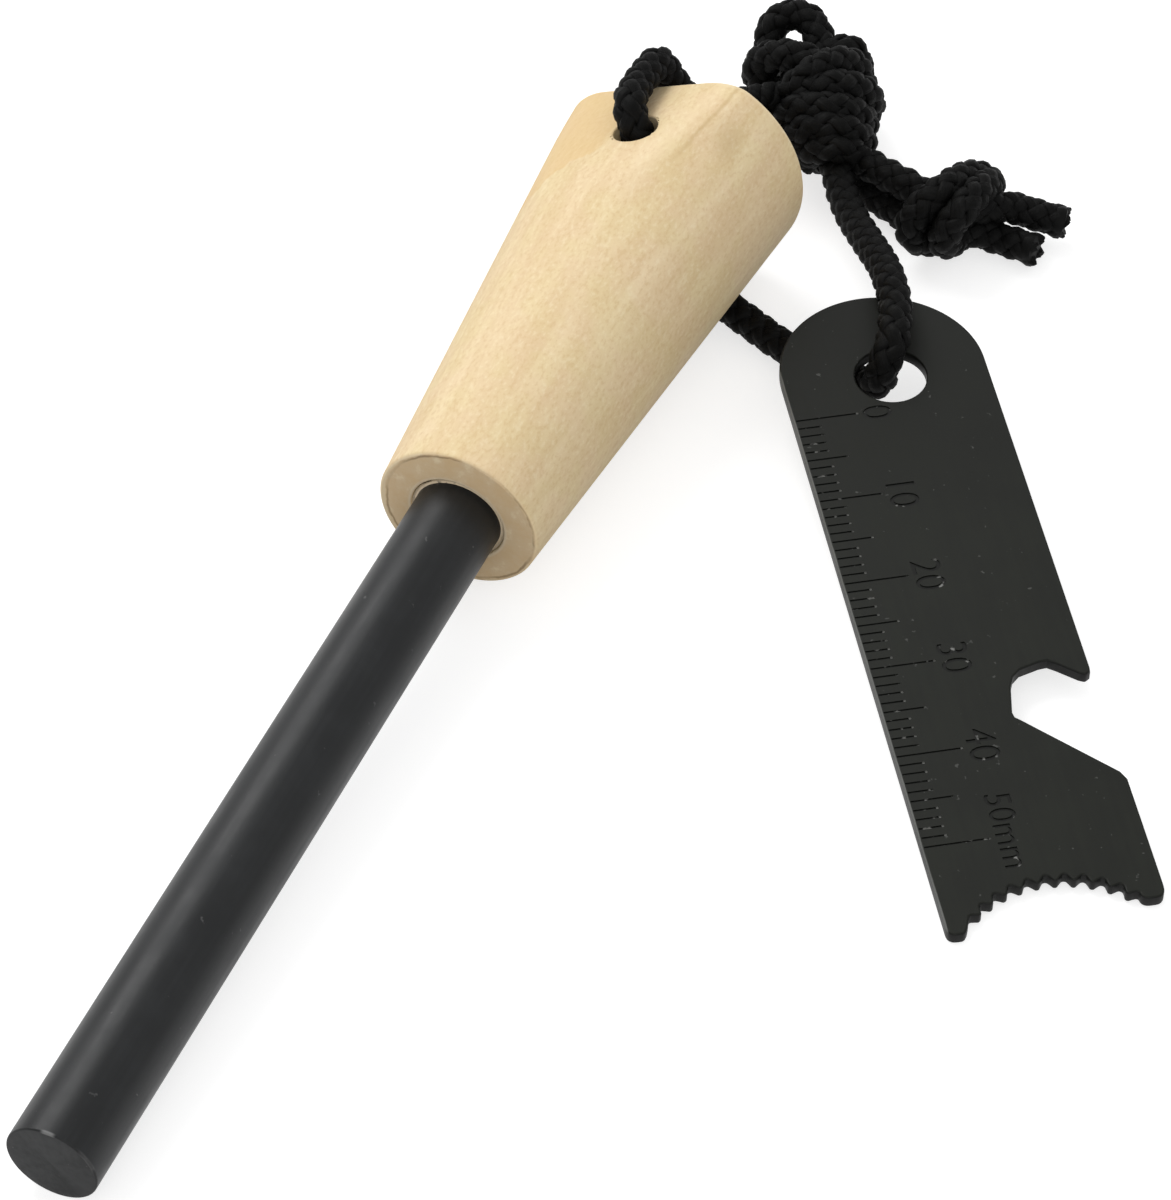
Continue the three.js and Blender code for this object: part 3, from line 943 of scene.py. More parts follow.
# The darker orange patch by the cord hole
ORANGE_PATCH_WOOD = (0.72, 0.50, 0.23)
LINE_WOOD = (0.56, 0.39, 0.19)
SMUDGED_WOOD = (0.50, 0.35, 0.19)
PALE_END = (0.84, 0.72, 0.5)
RING_WOOD = (0.24, 0.155, 0.075)
OUTSIDE_RING = (0.80, 0.66, 0.44)
MOUTH_WOOD = (0.78, 0.66, 0.48)
BUTT_RIM_WOOD = (0.9, 0.78, 0.53)
# How strongly each mark near the butt shows, and its colour, in the order of wood_marks
MARK_LOOKS = ((0.35, BAND_BESIDE_LINE), (0.6, ORANGE_PATCH_WOOD), (0.5, LINE_WOOD), (0.3, SMUDGED_WOOD))

# The wood's patterns are longer along the grain than across it
GRAIN_STRETCH = (1.0, 9.0, 9.0)
SPECKLE_STRETCH = (0.6, 1.0, 1.0)

# The marks near the butt, from the butt and across the flat, on the grip's upper side. A pair is where a
# mark starts to show and where it shows fully.
UPPER_SIDE = (2 * MM, 4 * MM)
# The darker orange patch by the cord hole: its edge, softness and side, and a wobble that bends it and the
# line
ORANGE_PATCH_EDGE = 12 * MM
ORANGE_PATCH_SOFTNESS = 0.35 * MM
PATCH_AND_LINE_WOBBLE = 5 * MM
ORANGE_PATCH_SIDE = (1.5 * MM, -0.5 * MM)
LINE_SLANT = 0.147
LINE_ACROSS = 9.3 * MM
LINE_LENGTH = 14 * MM
LINE_WIDTH = (0.26 * MM, 0.0)
LINE_END_SHARES = (1, 0.6)
LINE_WOBBLE_SHARE = 0.12
BAND_ASIDE = 1.3 * MM
BAND_WIDTH = (1.2 * MM, 0.1 * MM)
BAND_END_SHARES = (1.3, 0.8)
SMUDGE_LENGTH_SHARE = 0.6
SMUDGE_PLACE = (SMUDGE_LENGTH_SHARE * 6.3 * MM, 9.7 * MM, 5.5 * MM)
SMUDGE_REACH = (2.2 * MM, 0.2 * MM)

# The small face's dark ring, the paler wood outside it and round the bore, and the butt's pale rim
RING_INSET = 0.42 * MM
RING_SHIFT = (0.0, -0.28 * MM, -0.22 * MM)
RING_WOBBLE = 0.5 * MM
RING_WIDTH = (0.17 * MM, 0.03 * MM)
OUTSIDE_RING_REACH = (0.12 * MM, 0.3 * MM)
MOUTH_REACH = (0.42 * MM, 0.2 * MM)
BUTT_RIM_REACH = (1.1 * MM, 0.3 * MM)
BUTT_RIM_STRENGTH = 0.45
END_FACE = (0.6, 0.9)


def wood_places(tree, settings):
    """Where a point is on the grip: its distance from the butt, across the flat, and out from the axis."""
    plain = turned_coordinates(tree, STEEL_PLACE)
    from_butt = total(tree, part_of(tree, plain, "X"), settings.from_tip, settings.length)
    out, across = (vector_maths(tree, "DOT_PRODUCT", plain, way) for way in flat_directions(settings))
    return plain, from_butt, across, out, from_x_axis(tree, plain)


def wood_marks(tree, places, wobble):
    """The band beside the grain line, the darker orange patch by the cord hole, the line and its smudge, as
    masks.
    """
    _, from_butt, across, out, _ = places
    above = spread_between(tree, out, *UPPER_SIDE)
    shaken = product(tree, maths(tree, "SUBTRACT", wobble, 0.5), PATCH_AND_LINE_WOBBLE)
    edge = total(tree, from_butt, across, shaken)
    orange_patch = spread_between(tree, edge, ORANGE_PATCH_EDGE + ORANGE_PATCH_SOFTNESS, ORANGE_PATCH_EDGE - ORANGE_PATCH_SOFTNESS)
    orange_patch = product(tree, orange_patch, spread_between(tree, across, *ORANGE_PATCH_SIDE), above)
    slant = product(tree, from_butt, LINE_SLANT)
    bent = product(tree, shaken, LINE_WOBBLE_SHARE)
    aside = total(tree, maths(tree, "SUBTRACT", across, LINE_ACROSS), slant, bent)
    line = spread_between(tree, maths(tree, "ABSOLUTE", aside), *LINE_WIDTH)
    fade = spread_between(tree, from_butt, *(share * LINE_LENGTH for share in LINE_END_SHARES))
    line = product(tree, line, fade, above)
    band = spread_between(tree, maths(tree, "ABSOLUTE", total(tree, aside, BAND_ASIDE)), *BAND_WIDTH)
    fade = spread_between(tree, from_butt, *(share * LINE_LENGTH for share in BAND_END_SHARES))
    band = product(tree, band, fade, above)
    shortened = product(tree, from_butt, SMUDGE_LENGTH_SHARE)
    there = vector_of(tree, shortened, across, out)
    smudge = spread_between(tree, vector_maths(tree, "DISTANCE", there, SMUDGE_PLACE), *SMUDGE_REACH)
    return band, orange_patch, line, smudge


def bare_wood(tree, settings, broad, streaks, cloud, speckle):
    """The colour of sanded wood with its grain, its tints and its pores."""
    dark = tuple(settings.dark_colour)
    tone = total(tree, product(tree, broad, 0.55), product(tree, streaks, 0.45))
    darker = spread_between(tree, tone, 0.40, 0.66, 0.0, 0.42)
    colour = blend_colours(tree, darker, tuple(settings.colour), dark)
    colour = blend_colours(tree, spread_between(tree, broad, 0.46, 0.32, 0.0, 0.5), colour, PALE_STREAK)
    tint = blend_colours(tree, spread_between(tree, cloud, 0.35, 0.65), ROSY_WOOD, GREENISH_WOOD)
    colour = blend_colours(tree, 0.3, colour, tint)
    colour = blend_colours(tree, spread_between(tree, speckle, 0.50, 0.70, 0.0, 0.34), colour, dark)
    return blend_colours(tree, spread_between(tree, speckle, 0.46, 0.30, 0.0, 0.30), colour, PALE_FLECK)


def end_grain(tree, settings, plain):
    """The mottled colour of both end faces."""
    patchy = noise(tree, plain, 520.0, detail=4, roughness=0.65)
    dark = spread_between(tree, patchy, 0.4, 0.66, 0.0, 0.45)
    colour = blend_colours(tree, dark, tuple(settings.end_colour), tuple(settings.dark_colour))
    return blend_colours(tree, spread_between(tree, patchy, 0.45, 0.3, 0.0, 0.5), colour, PALE_END)


def small_face_marks(tree, settings, colour, places, front, cloud):
    """A colour with the small face's dark ring, the paler wood outside it and round the bore."""
    plain, _, _, _, radius = places
    from_middle = from_x_axis(tree, vector_maths(tree, "ADD", plain, RING_SHIFT))
    uneven = product(tree, maths(tree, "SUBTRACT", noise(tree, plain, 700.0), 0.5), RING_WOBBLE)
    inset = maths(tree, "SUBTRACT", from_middle, settings.small_radius - RING_INSET)
    inset = total(tree, inset, uneven)
    ring = spread_between(tree, maths(tree, "ABSOLUTE", inset), *RING_WIDTH)
    ring = product(tree, ring, front, spread_between(tree, cloud, 0.36, 0.6, 0.15, 0.7))
    colour = blend_colours(tree, ring, colour, RING_WOOD)
    outside = product(tree, front, spread_between(tree, inset, *OUTSIDE_RING_REACH, 0.0, 0.7))
    colour = blend_colours(tree, outside, colour, OUTSIDE_RING)
    mouth = maths(tree, "SUBTRACT", radius, settings.bore_radius)
    mouth = product(tree, front, spread_between(tree, mouth, *MOUTH_REACH, 0.0, 0.6))
    return blend_colours(tree, mouth, colour, MOUTH_WOOD)


def wood_material(settings):
    """Bare sanded birch: faint grain, fine pores, a darker orange patch by the cord hole, a dark grain line,
    and tan end grain.
    """
    material, tree, shader = new_material("birch")
    places = wood_places(tree, settings)
    plain, from_butt, _, _, _ = places
    grain = vector_maths(tree, "MULTIPLY", plain, GRAIN_STRETCH)
    broad = noise(tree, grain, 42.0, detail=2, distortion=0.5)
    streaks = noise(tree, grain, 130.0, detail=3, distortion=0.3)
    cloud = noise(tree, plain, 230.0, detail=2)
    fine = vector_maths(tree, "MULTIPLY", plain, SPECKLE_STRETCH)
    speckle = noise(tree, fine, 2700.0, detail=2, roughness=0.6)
    colour = bare_wood(tree, settings, broad, streaks, cloud, speckle)
    masks = wood_marks(tree, places, noise(tree, plain, 320.0, detail=3))
    for mask, (strength, look) in zip(masks, MARK_LOOKS):
        colour = blend_colours(tree, product(tree, mask, strength), colour, look)
    normal = add_node(tree, "ShaderNodeTexCoord").outputs["Normal"]
    axis = STEEL_PLACE.to_3x3() @ Vector((1, 0, 0))
    facing = vector_maths(tree, "DOT_PRODUCT", normal, tuple(axis))
    ends = spread_between(tree, maths(tree, "ABSOLUTE", facing), *END_FACE)
    front = spread_between(tree, facing, *END_FACE)
    colour = blend_colours(tree, product(tree, ends, 0.9), colour, end_grain(tree, settings, plain))
    colour = small_face_marks(tree, settings, colour, places, front, cloud)
    beside_ends = maths(tree, "SUBTRACT", BUTT_RIM_STRENGTH, product(tree, ends, BUTT_RIM_STRENGTH))
    rim = product(tree, spread_between(tree, from_butt, *BUTT_RIM_REACH), beside_ends)
    colour = blend_colours(tree, rim, colour, BUTT_RIM_WOOD)
    normal = bump(tree, total(tree, product(tree, streaks, 0.5), speckle), 0.22, 0.1 * MM)
    set_surface(tree, shader, colour, 0.62, 0.25, normal)
    return material


# The painted highlight on top of the rod tip's rim, a bright fleck, in the steel's frame, as shares of the
# rod's radius
HIGHLIGHT_FLECK_SHARES = (0.0, 0.03, 1.00)
HIGHLIGHT_FLECK_REACH = (0.75 * MM, 0.3 * MM)
# Where the rim is rubbed and carries the painted highlight, where the sawn face begins, and the stretch of
# the coating's lengthwise marks
RIM_WEAR_AND_HIGHLIGHT = (-0.3 * MM, -0.12 * MM)
SAWN_FACE = (-0.12 * MM, -0.04 * MM)
ROD_LINE_STRETCH = (1.0, 26.0, 26.0)


def rod_material(settings):
    """Satin black coating with faint lengthwise marks, a rubbed rim with a painted highlight on its top, and
    a mottled sawn tip.
    """
    material, tree, shader = new_material("black_coated_rod")
    plain = turned_coordinates(tree, STEEL_PLACE)
    lines = noise(tree, vector_maths(tree, "MULTIPLY", plain, ROD_LINE_STRETCH), 60.0, detail=4)
    cloud = noise(tree, plain, 260.0, detail=4)
    mixed = total(tree, product(tree, lines, 0.5), product(tree, cloud, 0.5))
    worn = toned(settings.colour, 1.5)
    colour = blend_colours(tree, spread_between(tree, mixed, 0.4, 0.7), tuple(settings.colour), worn)
    along = part_of(tree, plain, "X")
    sawn = spread_between(tree, along, *SAWN_FACE)
    mottle = spread_between(tree, noise(tree, plain, 420.0, detail=4, roughness=0.7), 0.35, 0.65, 0.3, 0.8)
    colour = blend_colours(tree, product(tree, sawn, mottle), colour, toned(settings.colour, 0.35))
    rim = total(tree, along, maths(tree, "SUBTRACT", from_x_axis(tree, plain), settings.radius))
    # Painted highlight: a bright fleck on top of the tip's rim, joined with the rim's wear
    highlight_fleck_place = tuple(share * settings.radius for share in HIGHLIGHT_FLECK_SHARES)
    highlight_fleck = spread_between(tree, vector_maths(tree, "DISTANCE", plain, highlight_fleck_place), *HIGHLIGHT_FLECK_REACH)
    bare = maths(tree, "MAXIMUM", highlight_fleck, spread_between(tree, cloud, 0.5, 0.68, 0.0, 0.3))
    rubbed = product(tree, spread_between(tree, rim, *RIM_WEAR_AND_HIGHLIGHT), bare)
    specks = spread_between(tree, noise(tree, plain, 1000.0, detail=2), 0.72, 0.79, 0.0, 0.35)
    colour = blend_colours(tree, maths(tree, "MAXIMUM", rubbed, specks), colour, tuple(settings.rim_wear_and_highlight_colour))
    rough = total(tree, spread_between(tree, mixed, 0.35, 0.7, 0.38, 0.5), product(tree, sawn, 0.12))
    height = total(tree, mixed, product(tree, noise(tree, plain, 1500.0, detail=3), 0.4))
    normal = bump(tree, height, 0.16, 0.08 * MM)
    set_surface(tree, shader, colour, rough, 0.3, normal)
    return material


# The glue's dusty side, across the rod
DUSTY_SIDE = (2 * MM, -3 * MM)


def glue_material(settings):
    """Hard brownish glue with dark specks of wood dust."""
    material, tree, shader = new_material("glue")
    plain = turned_coordinates(tree, STEEL_PLACE)
    dusty = spread_between(tree, part_of(tree, plain, "Y"), *DUSTY_SIDE, 0.1, 1.0)
    specks = product(tree, spread_between(tree, noise(tree, plain, 1500.0, detail=3), 0.53, 0.64), dusty)
    colour = blend_colours(tree, specks, tuple(settings.glue_colour), toned(settings.glue_colour, 0.15))
    normal = bump(tree, specks, 0.5, 0.1 * MM)
    set_surface(tree, shader, colour, 0.4, normal=normal)
    return material


# Painted shadow of the cord, darker near the hole, and the ruler's edge, rubbed and with a painted highlight
# on its rounded edge
CORD_SHADOW_REACH = (4 * MM, 26 * MM)
EDGE_WEAR_AND_HIGHLIGHT = (0.2 * MM, 0.08 * MM)
EDGE_WEAR_AND_HIGHLIGHT_WOBBLE = 0.2 * MM
ROLLED_STRETCH = (1.0, 18.0, 1.0)


def steel_material(settings):
    """Black oxide on sheet steel: faint rolling marks, cloudy patches, a painted cord shadow near the hole,
    painted shade on the walls, and a rubbed edge with a painted highlight.
    """
    material, tree, shader = new_material("black_oxide_steel")
    plain = turned_coordinates(tree, STRIKER_PLACE)
    rolled = noise(tree, vector_maths(tree, "MULTIPLY", plain, ROLLED_STRETCH), 90.0, detail=4)
    cloud = noise(tree, plain, 160.0, detail=3)
    mixed = total(tree, product(tree, rolled, 0.4), product(tree, cloud, 0.6))
    pale = toned(settings.colour, 1.45)
    colour = blend_colours(tree, spread_between(tree, mixed, 0.4, 0.68), tuple(settings.colour), pale)
    # Painted shadow of the cord: the plate darker towards its hole
    painted_cord_shadow = spread_between(tree, part_of(tree, plain, "X"), *CORD_SHADOW_REACH, 0.45, 0.0)
    colour = blend_colours(tree, painted_cord_shadow, colour, toned(settings.colour, 0.45))
    normal = add_node(tree, "ShaderNodeTexCoord").outputs["Normal"]
    up = STRIKER_PLACE.to_3x3() @ Vector((0, 0, 1))
    facing = maths(tree, "ABSOLUTE", vector_maths(tree, "DOT_PRODUCT", normal, tuple(up)))
    # Painted shade: the walls, teeth and rounded edges darker as they turn away from the flat faces
    painted_wall_shade = spread_between(tree, facing, 0.9, 0.5, 0.0, 0.85)
    colour = blend_colours(tree, painted_wall_shade, colour, toned(settings.colour, 0.12))
    # The ruler's edge lighter: rubbed wear together with a painted highlight on its rounded edge
    from_edge = maths(tree, "SUBTRACT", part_of(tree, plain, "Y"), ruler_edge(settings))
    uneven = product(tree, maths(tree, "SUBTRACT", cloud, 0.5), EDGE_WEAR_AND_HIGHLIGHT_WOBBLE)
    worn = spread_between(tree, total(tree, from_edge, uneven), *EDGE_WEAR_AND_HIGHLIGHT, 0.0, 0.8)
    worn = product(tree, worn, spread_between(tree, facing, 0.1, 0.5, 0.2, 1.0))
    specks = spread_between(tree, noise(tree, plain, 1300.0, detail=2), 0.71, 0.78, 0.0, 0.3)
    colour = blend_colours(tree, maths(tree, "MAXIMUM", worn, specks), colour, tuple(settings.worn_and_highlight_colour))
    rough = spread_between(tree, mixed, 0.35, 0.7, 0.42, 0.56)
    normal = bump(tree, mixed, 0.1, 0.08 * MM)
    set_surface(tree, shader, colour, rough, 0.2, normal)
    return material


def mark_material(settings):
    """The floor of an engraved mark, darker than the face, with painted glints where it shows bare steel."""
    material, tree, shader = new_material("engraved_mark")
    plain = turned_coordinates(tree, STRIKER_PLACE)
    glint = spread_between(tree, noise(tree, plain, 1100.0, detail=2), 0.61, 0.72)
    colour = blend_colours(tree, glint, toned(settings.colour, 0.45), tuple(settings.glint_colour))
    set_surface(tree, shader, colour, 0.45, 0.2)
    return material


def glint_material(settings):
    """The bright spot where a stroke of the stamp ends: bare steel, painted with its glint."""
    material, tree, shader = new_material("bare_glint")
    plain = turned_coordinates(tree, STRIKER_PLACE)
    shown = spread_between(tree, noise(tree, plain, 520.0, detail=2), 0.38, 0.56)
    colour = blend_colours(tree, shown, toned(settings.colour, 1.6), tuple(settings.glint_colour))
    set_surface(tree, shader, colour, 0.35)
    return material


# The plate's two feet and its bottle notch, in its own frame
FOOT_ROUND = 0.9 * MM
FOOT_WIDTH = 2.18 * MM
FOOT_REACH = 1.7 * MM
SHORT_FOOT_STEP = 0.9 * MM
NOTCH_FROM_END = 46 * MM
NOTCH_LENGTH = 13.2 * MM
NOTCH_DEPTH = 7.77 * MM
# One tooth of the scraper: across it, and its height, as shares of its width and height
TOOTH_SHARES = [
    (0, 0),
    (0.13, 0.14),
    (0.26, 0.5),
    (0.38, 0.86),
    (0.5, 1),
    (0.62, 0.86),
    (0.74, 0.5),
    (0.87, 0.14),
]
# The bottle notch: along its length and into the plate, as shares of its length and depth
NOTCH_SHARES = [
    (1.068, 0),
    (1, 0.051),
    (0.462, 0.94),
    (0.436, 0.988),
    (0.394, 1),
    (0.182, 0.927),
    (0.102, 0.869),
    (0.049, 0.772),
    (0.008, 0.53),
    (0.004, 0.438),
    (0.042, 0.347),
    (0.144, 0.142),
    (0.167, 0.071),
    (0.144, 0.01),
    (0.106, 0),
]


# How many sides the round end and the hole have
END_SIDES = 64
HOLE_SIDES = 48


def ruler_edge(s):
    """Where the ruler's edge is across the plate, from the hole."""
    return -s.width / 2 - s.hole_off_centre


def quadratic(first, middle, last, steps=8):
    """Points of a bend from one point to another, without the first."""
    shares = np.linspace(0, 1, steps + 1)[1:, None]
    first, middle, last = (np.array(p, float) for p in (first, middle, last))
    bend = first * (1 - shares) ** 2 + 2 * middle * shares * (1 - shares) + last * shares**2
    return [tuple(p) for p in bend]


def striker_outline(s):
    """The plate's outline in its own plane, once round from the ruler edge's start."""
    end_x = -s.hole_from_end
    low_y = ruler_edge(s)
    high_y = low_y + s.width
    mid_y = low_y + s.width / 2
    long_x = end_x + s.length
    short_x = long_x - SHORT_FOOT_STEP
    gullet = (s.width / 2 - FOOT_WIDTH) / math.sin(s.serration_span / 2)
    centre_x = long_x - FOOT_REACH + gullet * math.cos(s.serration_span / 2)
    teeth = []
    for tooth in range(s.teeth):
        for across, height in TOOTH_SHARES:
            angle = s.serration_span * ((tooth + across) / s.teeth - 0.5)
            radius = gullet - height * s.tooth_height
            teeth.append((centre_x - radius * math.cos(angle), mid_y + radius * math.sin(angle)))
    angle = s.serration_span / 2
    teeth.append((centre_x - gullet * math.cos(angle), mid_y + gullet * math.sin(angle)))
    first, last = teeth[0], teeth[-1]
    points = [(end_x + s.width / 2, low_y), (long_x - FOOT_ROUND, low_y)]
    points += quadratic(points[-1], (long_x, low_y), (long_x, low_y + FOOT_ROUND))
    points.append((long_x, first[1] - FOOT_ROUND))
    points += quadratic(points[-1], (long_x, first[1] - FOOT_ROUND / 2), first, 4)
    points += teeth[1:]
    points += quadratic(last, (short_x, last[1]), (short_x, last[1] + FOOT_ROUND))
    points.append((short_x, high_y - FOOT_ROUND))
    points += quadratic(points[-1], (short_x, high_y), ((last[0] + short_x) / 2 - FOOT_ROUND, high_y))
    for along, deep in NOTCH_SHARES:
        points.append((end_x + NOTCH_FROM_END + along * NOTCH_LENGTH, high_y - deep * NOTCH_DEPTH))
    round_radius = s.width / 2
    middle_x = end_x + round_radius
    arc = np.linspace(math.pi / 2, 3 * math.pi / 2, END_SIDES + 1)[:-1]
    points += [(middle_x + round_radius * math.cos(a), mid_y + round_radius * math.sin(a)) for a in arc]
    return points


def plate_mesh(s):
    """The plate with its hole, edges square."""
    work = bmesh.new()
    outline = striker_outline(s)
    angles = np.linspace(0, 2 * math.pi, HOLE_SIDES + 1)[:-1]
    ring = [(s.hole_radius * math.cos(a), s.hole_radius * math.sin(a)) for a in angles]
    edges = []
    for loop in (outline, ring):
        verts = [work.verts.new((x, y, 0)) for x, y in loop]
        edges += [work.edges.new((a, b)) for a, b in zip(verts, verts[1:] + verts[:1])]
    bmesh.ops.triangle_fill(work, use_beauty=True, use_dissolve=True, edges=edges)
    made = bmesh.ops.extrude_face_region(work, geom=work.faces[:])["geom"]
    moved = [e for e in made if isinstance(e, bmesh.types.BMVert)]
    bmesh.ops.translate(work, verts=moved, vec=(0, 0, s.thickness))
    bmesh.ops.recalc_face_normals(work, faces=work.faces)
    mesh = bpy.data.meshes.new("plate")
    work.to_mesh(mesh)
    work.free()
    return mesh


# The ruler's marks, in millimetres along and across the plate, and the dots where the strokes end
RULER_START = 4.15 * MM
RULER_STEP = 1 * MM
RULER_COUNT = 51
TICK_START = 0.22 * MM
TICK_WIDTH = 0.19 * MM
DOT_LENGTH = 0.2 * MM
DOT_GAP = 0.01 * MM
TICK_LENGTHS = (1.95 * MM, 3.5 * MM, 5.5 * MM)
NUMERAL_LOW = 6.35 * MM
NUMERAL_HEIGHT = 2.3 * MM
UNIT_HEIGHT = 2 * MM
# The height of a figure as a share of the size of its letters, and the middle of each along the ruler
GLYPH_SHARE = 0.61
NUMERAL_MIDDLES = {
    "0": 0.15 * MM,
    "10": 10.15 * MM,
    "20": 20.15 * MM,
    "30": 29.9 * MM,
    "40": 39.95 * MM,
    "50mm": 49.4 * MM,
}


def ruler_tree():
    """Cutters for a ruler's marks: a long one every ten, a middling one every five."""
    sizes = ("Spacing", "Short", "Medium", "Long", "Width", "Depth", "Dot", "Gap")
    tree, given = new_group("ruler_marks", sizes, "Count")
    step = vector_of(tree, given["Spacing"])
    row = geometry(tree, "MeshLine", {"Count": given["Count"], "Offset": step}, mode="OFFSET")
    number = add_node(tree, "GeometryNodeInputIndex").outputs[0]

    def every(count):
        return maths(tree, "LESS_THAN", maths(tree, "MODULO", number, float(count)), 0.5)

    fives = product(tree, every(5), maths(tree, "SUBTRACT", given["Medium"], given["Short"]))
    tens = product(tree, every(10), maths(tree, "SUBTRACT", given["Long"], given["Medium"]))
    length = total(tree, given["Short"], total(tree, fives, tens))
    dotted = maths(tree, "GREATER_THAN", given["Dot"], 0.0)
    plain = product(tree, length, maths(tree, "SUBTRACT", 1.0, dotted))
    reach = total(tree, plain, given["Dot"])
    shift = vector_of(tree, 0.0, product(tree, dotted, total(tree, length, given["Gap"])))
    spots = geometry(tree, "SetPosition", {"Geometry": row, "Offset": shift})
    block = geometry(tree, "MeshCube", {"Size": (1.0, 1.0, 1.0)})
    block = geometry(tree, "Transform", {"Geometry": block, "Translation": (0.0, 0.5, 0.0)})
    size = vector_of(tree, given["Width"], reach, given["Depth"])
    placed = geometry(tree, "InstanceOnPoints", {"Points": spots, "Instance": block, "Scale": size})
    finish_group(tree, placed, given["Material"])
    return tree


def tick_cutters(s, material, dot=0.0):
    """All the ruler's marks, or the dots at their ends, as one cutter in the striker's frame."""
    start = bpy.data.meshes.new("ruler_start")
    start.from_pydata([(0, 0, 0)], [], [])
    guide = new_object("ruler_guide", start)
    values = {
        "Spacing": RULER_STEP,
        "Short": TICK_LENGTHS[0],
        "Medium": TICK_LENGTHS[1],
        "Long": TICK_LENGTHS[2],
        "Width": TICK_WIDTH,
        "Depth": 2 * s.mark_depth,
        "Dot": dot,
        "Gap": DOT_GAP,
        "Count": RULER_COUNT,
        "Material": material,
    }
    mesh = run_tree(guide, bpy.data.node_groups.get("ruler_marks") or ruler_tree(), values)
    drop(guide)
    mesh.transform(Matrix.Translation((RULER_START, ruler_edge(s) + TICK_START, s.thickness)))
    return new_object("ruler_cutters", mesh)


def numeral_cutter(s, text, middle, material):
    """One number as a cutter, in the striker's frame, its top away from the ruler's edge."""
    curve = bpy.data.curves.new("numeral", "FONT")
    curve.body = text
    curve.align_x = "CENTER"
    curve.extrude = s.mark_depth
    curve.resolution_u = 4
    curve.size = (UNIT_HEIGHT if "m" in text else NUMERAL_HEIGHT) / GLYPH_SHARE
    words = bpy.data.objects.new("numeral", curve)
    bpy.context.scene.collection.objects.link(words)
    mesh = finished_mesh(words, "numeral")
    drop(words)
    mesh.transform(Matrix.Translation((RULER_START + middle, ruler_edge(s) + NUMERAL_LOW, s.thickness)))
    mesh.materials.clear()
    weld(mesh, NEAR_IN_FIGURE)
    return new_object("numeral_cutter", mesh, material)


# How far the camera sees, and where the lamps hang, how wide they are and what they shine on
VIEW_REACH = 10
LAMP_TARGET = Vector((0, 0, 0.01))
KEY_PLACE = (-0.35, -0.55, 0.75)
KEY_SIZE = 0.55
FILL_PLACE = (0.8, 0.3, 0.6)
FILL_SIZE = 0.6


class FIRESTARTER_OT_stage(bpy.types.Operator):
    """Make the camera, the floor and the lamps"""

    bl_idname = "firestarter.stage"
    bl_label = "Stage"

    def execute(self, context):
        settings = context.scene.fire_stage
        camera = bpy.data.objects.new("camera", bpy.data.cameras.new("camera"))
        camera.data.lens = CAMERA_LENS
        camera.data.sensor_width = CAMERA_SENSOR
        camera.data.clip_end = VIEW_REACH
        axes = Matrix((CAMERA_RIGHT, CAMERA_UP, CAMERA_RIGHT.cross(CAMERA_UP))).transposed()
        camera.matrix_world = Matrix.Translation(CAMERA_PLACE) @ axes.to_4x4()
        context.scene.collection.objects.link(camera)
        context.scene.camera = camera
        half = settings.floor_size / 2
        corners = [(-half, -half, 0), (half, -half, 0), (half, half, 0), (-half, half, 0)]
        floor = new_object("floor", mesh_of("floor", corners, [(0, 1, 2, 3)]), floor_material(settings))
        lamp("key_lamp", KEY_PLACE, KEY_SIZE, settings.key_power)
        lamp("fill_lamp", FILL_PLACE, FILL_SIZE, settings.fill_power)
        white_world(settings)
        context.scene.view_settings.view_transform = "Standard"
        return {"FINISHED"}


def lamp(name, place, size, power):
    """A square soft lamp aimed at the part."""
    data = bpy.data.lights.new(name, "AREA")
    data.size = size
    data.energy = power
    light = bpy.data.objects.new(name, data)
    light.location = place
    light.rotation_euler = (LAMP_TARGET - Vector(place)).to_track_quat("-Z", "Y").to_euler()
    bpy.context.scene.collection.objects.link(light)


def floor_material(settings):
    """A pale floor that shows white to the camera and keeps the shadow."""
    material, tree, shader = new_material("pale_floor")
    path = add_node(tree, "ShaderNodeLightPath")
    seen = maths(tree, "MAXIMUM", path.outputs["Is Camera Ray"], path.outputs["Is Glossy Ray"])
    glow = product(tree, seen, settings.floor_glow)
    colour = tuple(settings.floor_colour)
    set_surface(tree, shader, colour, 0.9, 0.0)
    set_inputs(tree, shader, {"Emission Color": (1, 1, 1), "Emission Strength": glow})
    return material


def white_world(settings):
    """Even light all round, and white where the camera sees past the floor."""
    world = bpy.data.worlds.new("studio")
    world.use_nodes = True
    tree = world.node_tree
    background = tree.nodes["Background"]
    background.inputs["Color"].default_value = (1, 1, 1, 1)
    path = add_node(tree, "ShaderNodeLightPath")
    seen = maths(tree, "MAXIMUM", path.outputs["Is Camera Ray"], path.outputs["Is Transmission Ray"])
    levels = {"Value": seen, "To Min": settings.world_level, "To Max": 1.0}
    level = add_node(tree, "ShaderNodeMapRange", levels)
    tree.links.new(level.outputs["Result"], background.inputs["Strength"])
    bpy.context.scene.world = world


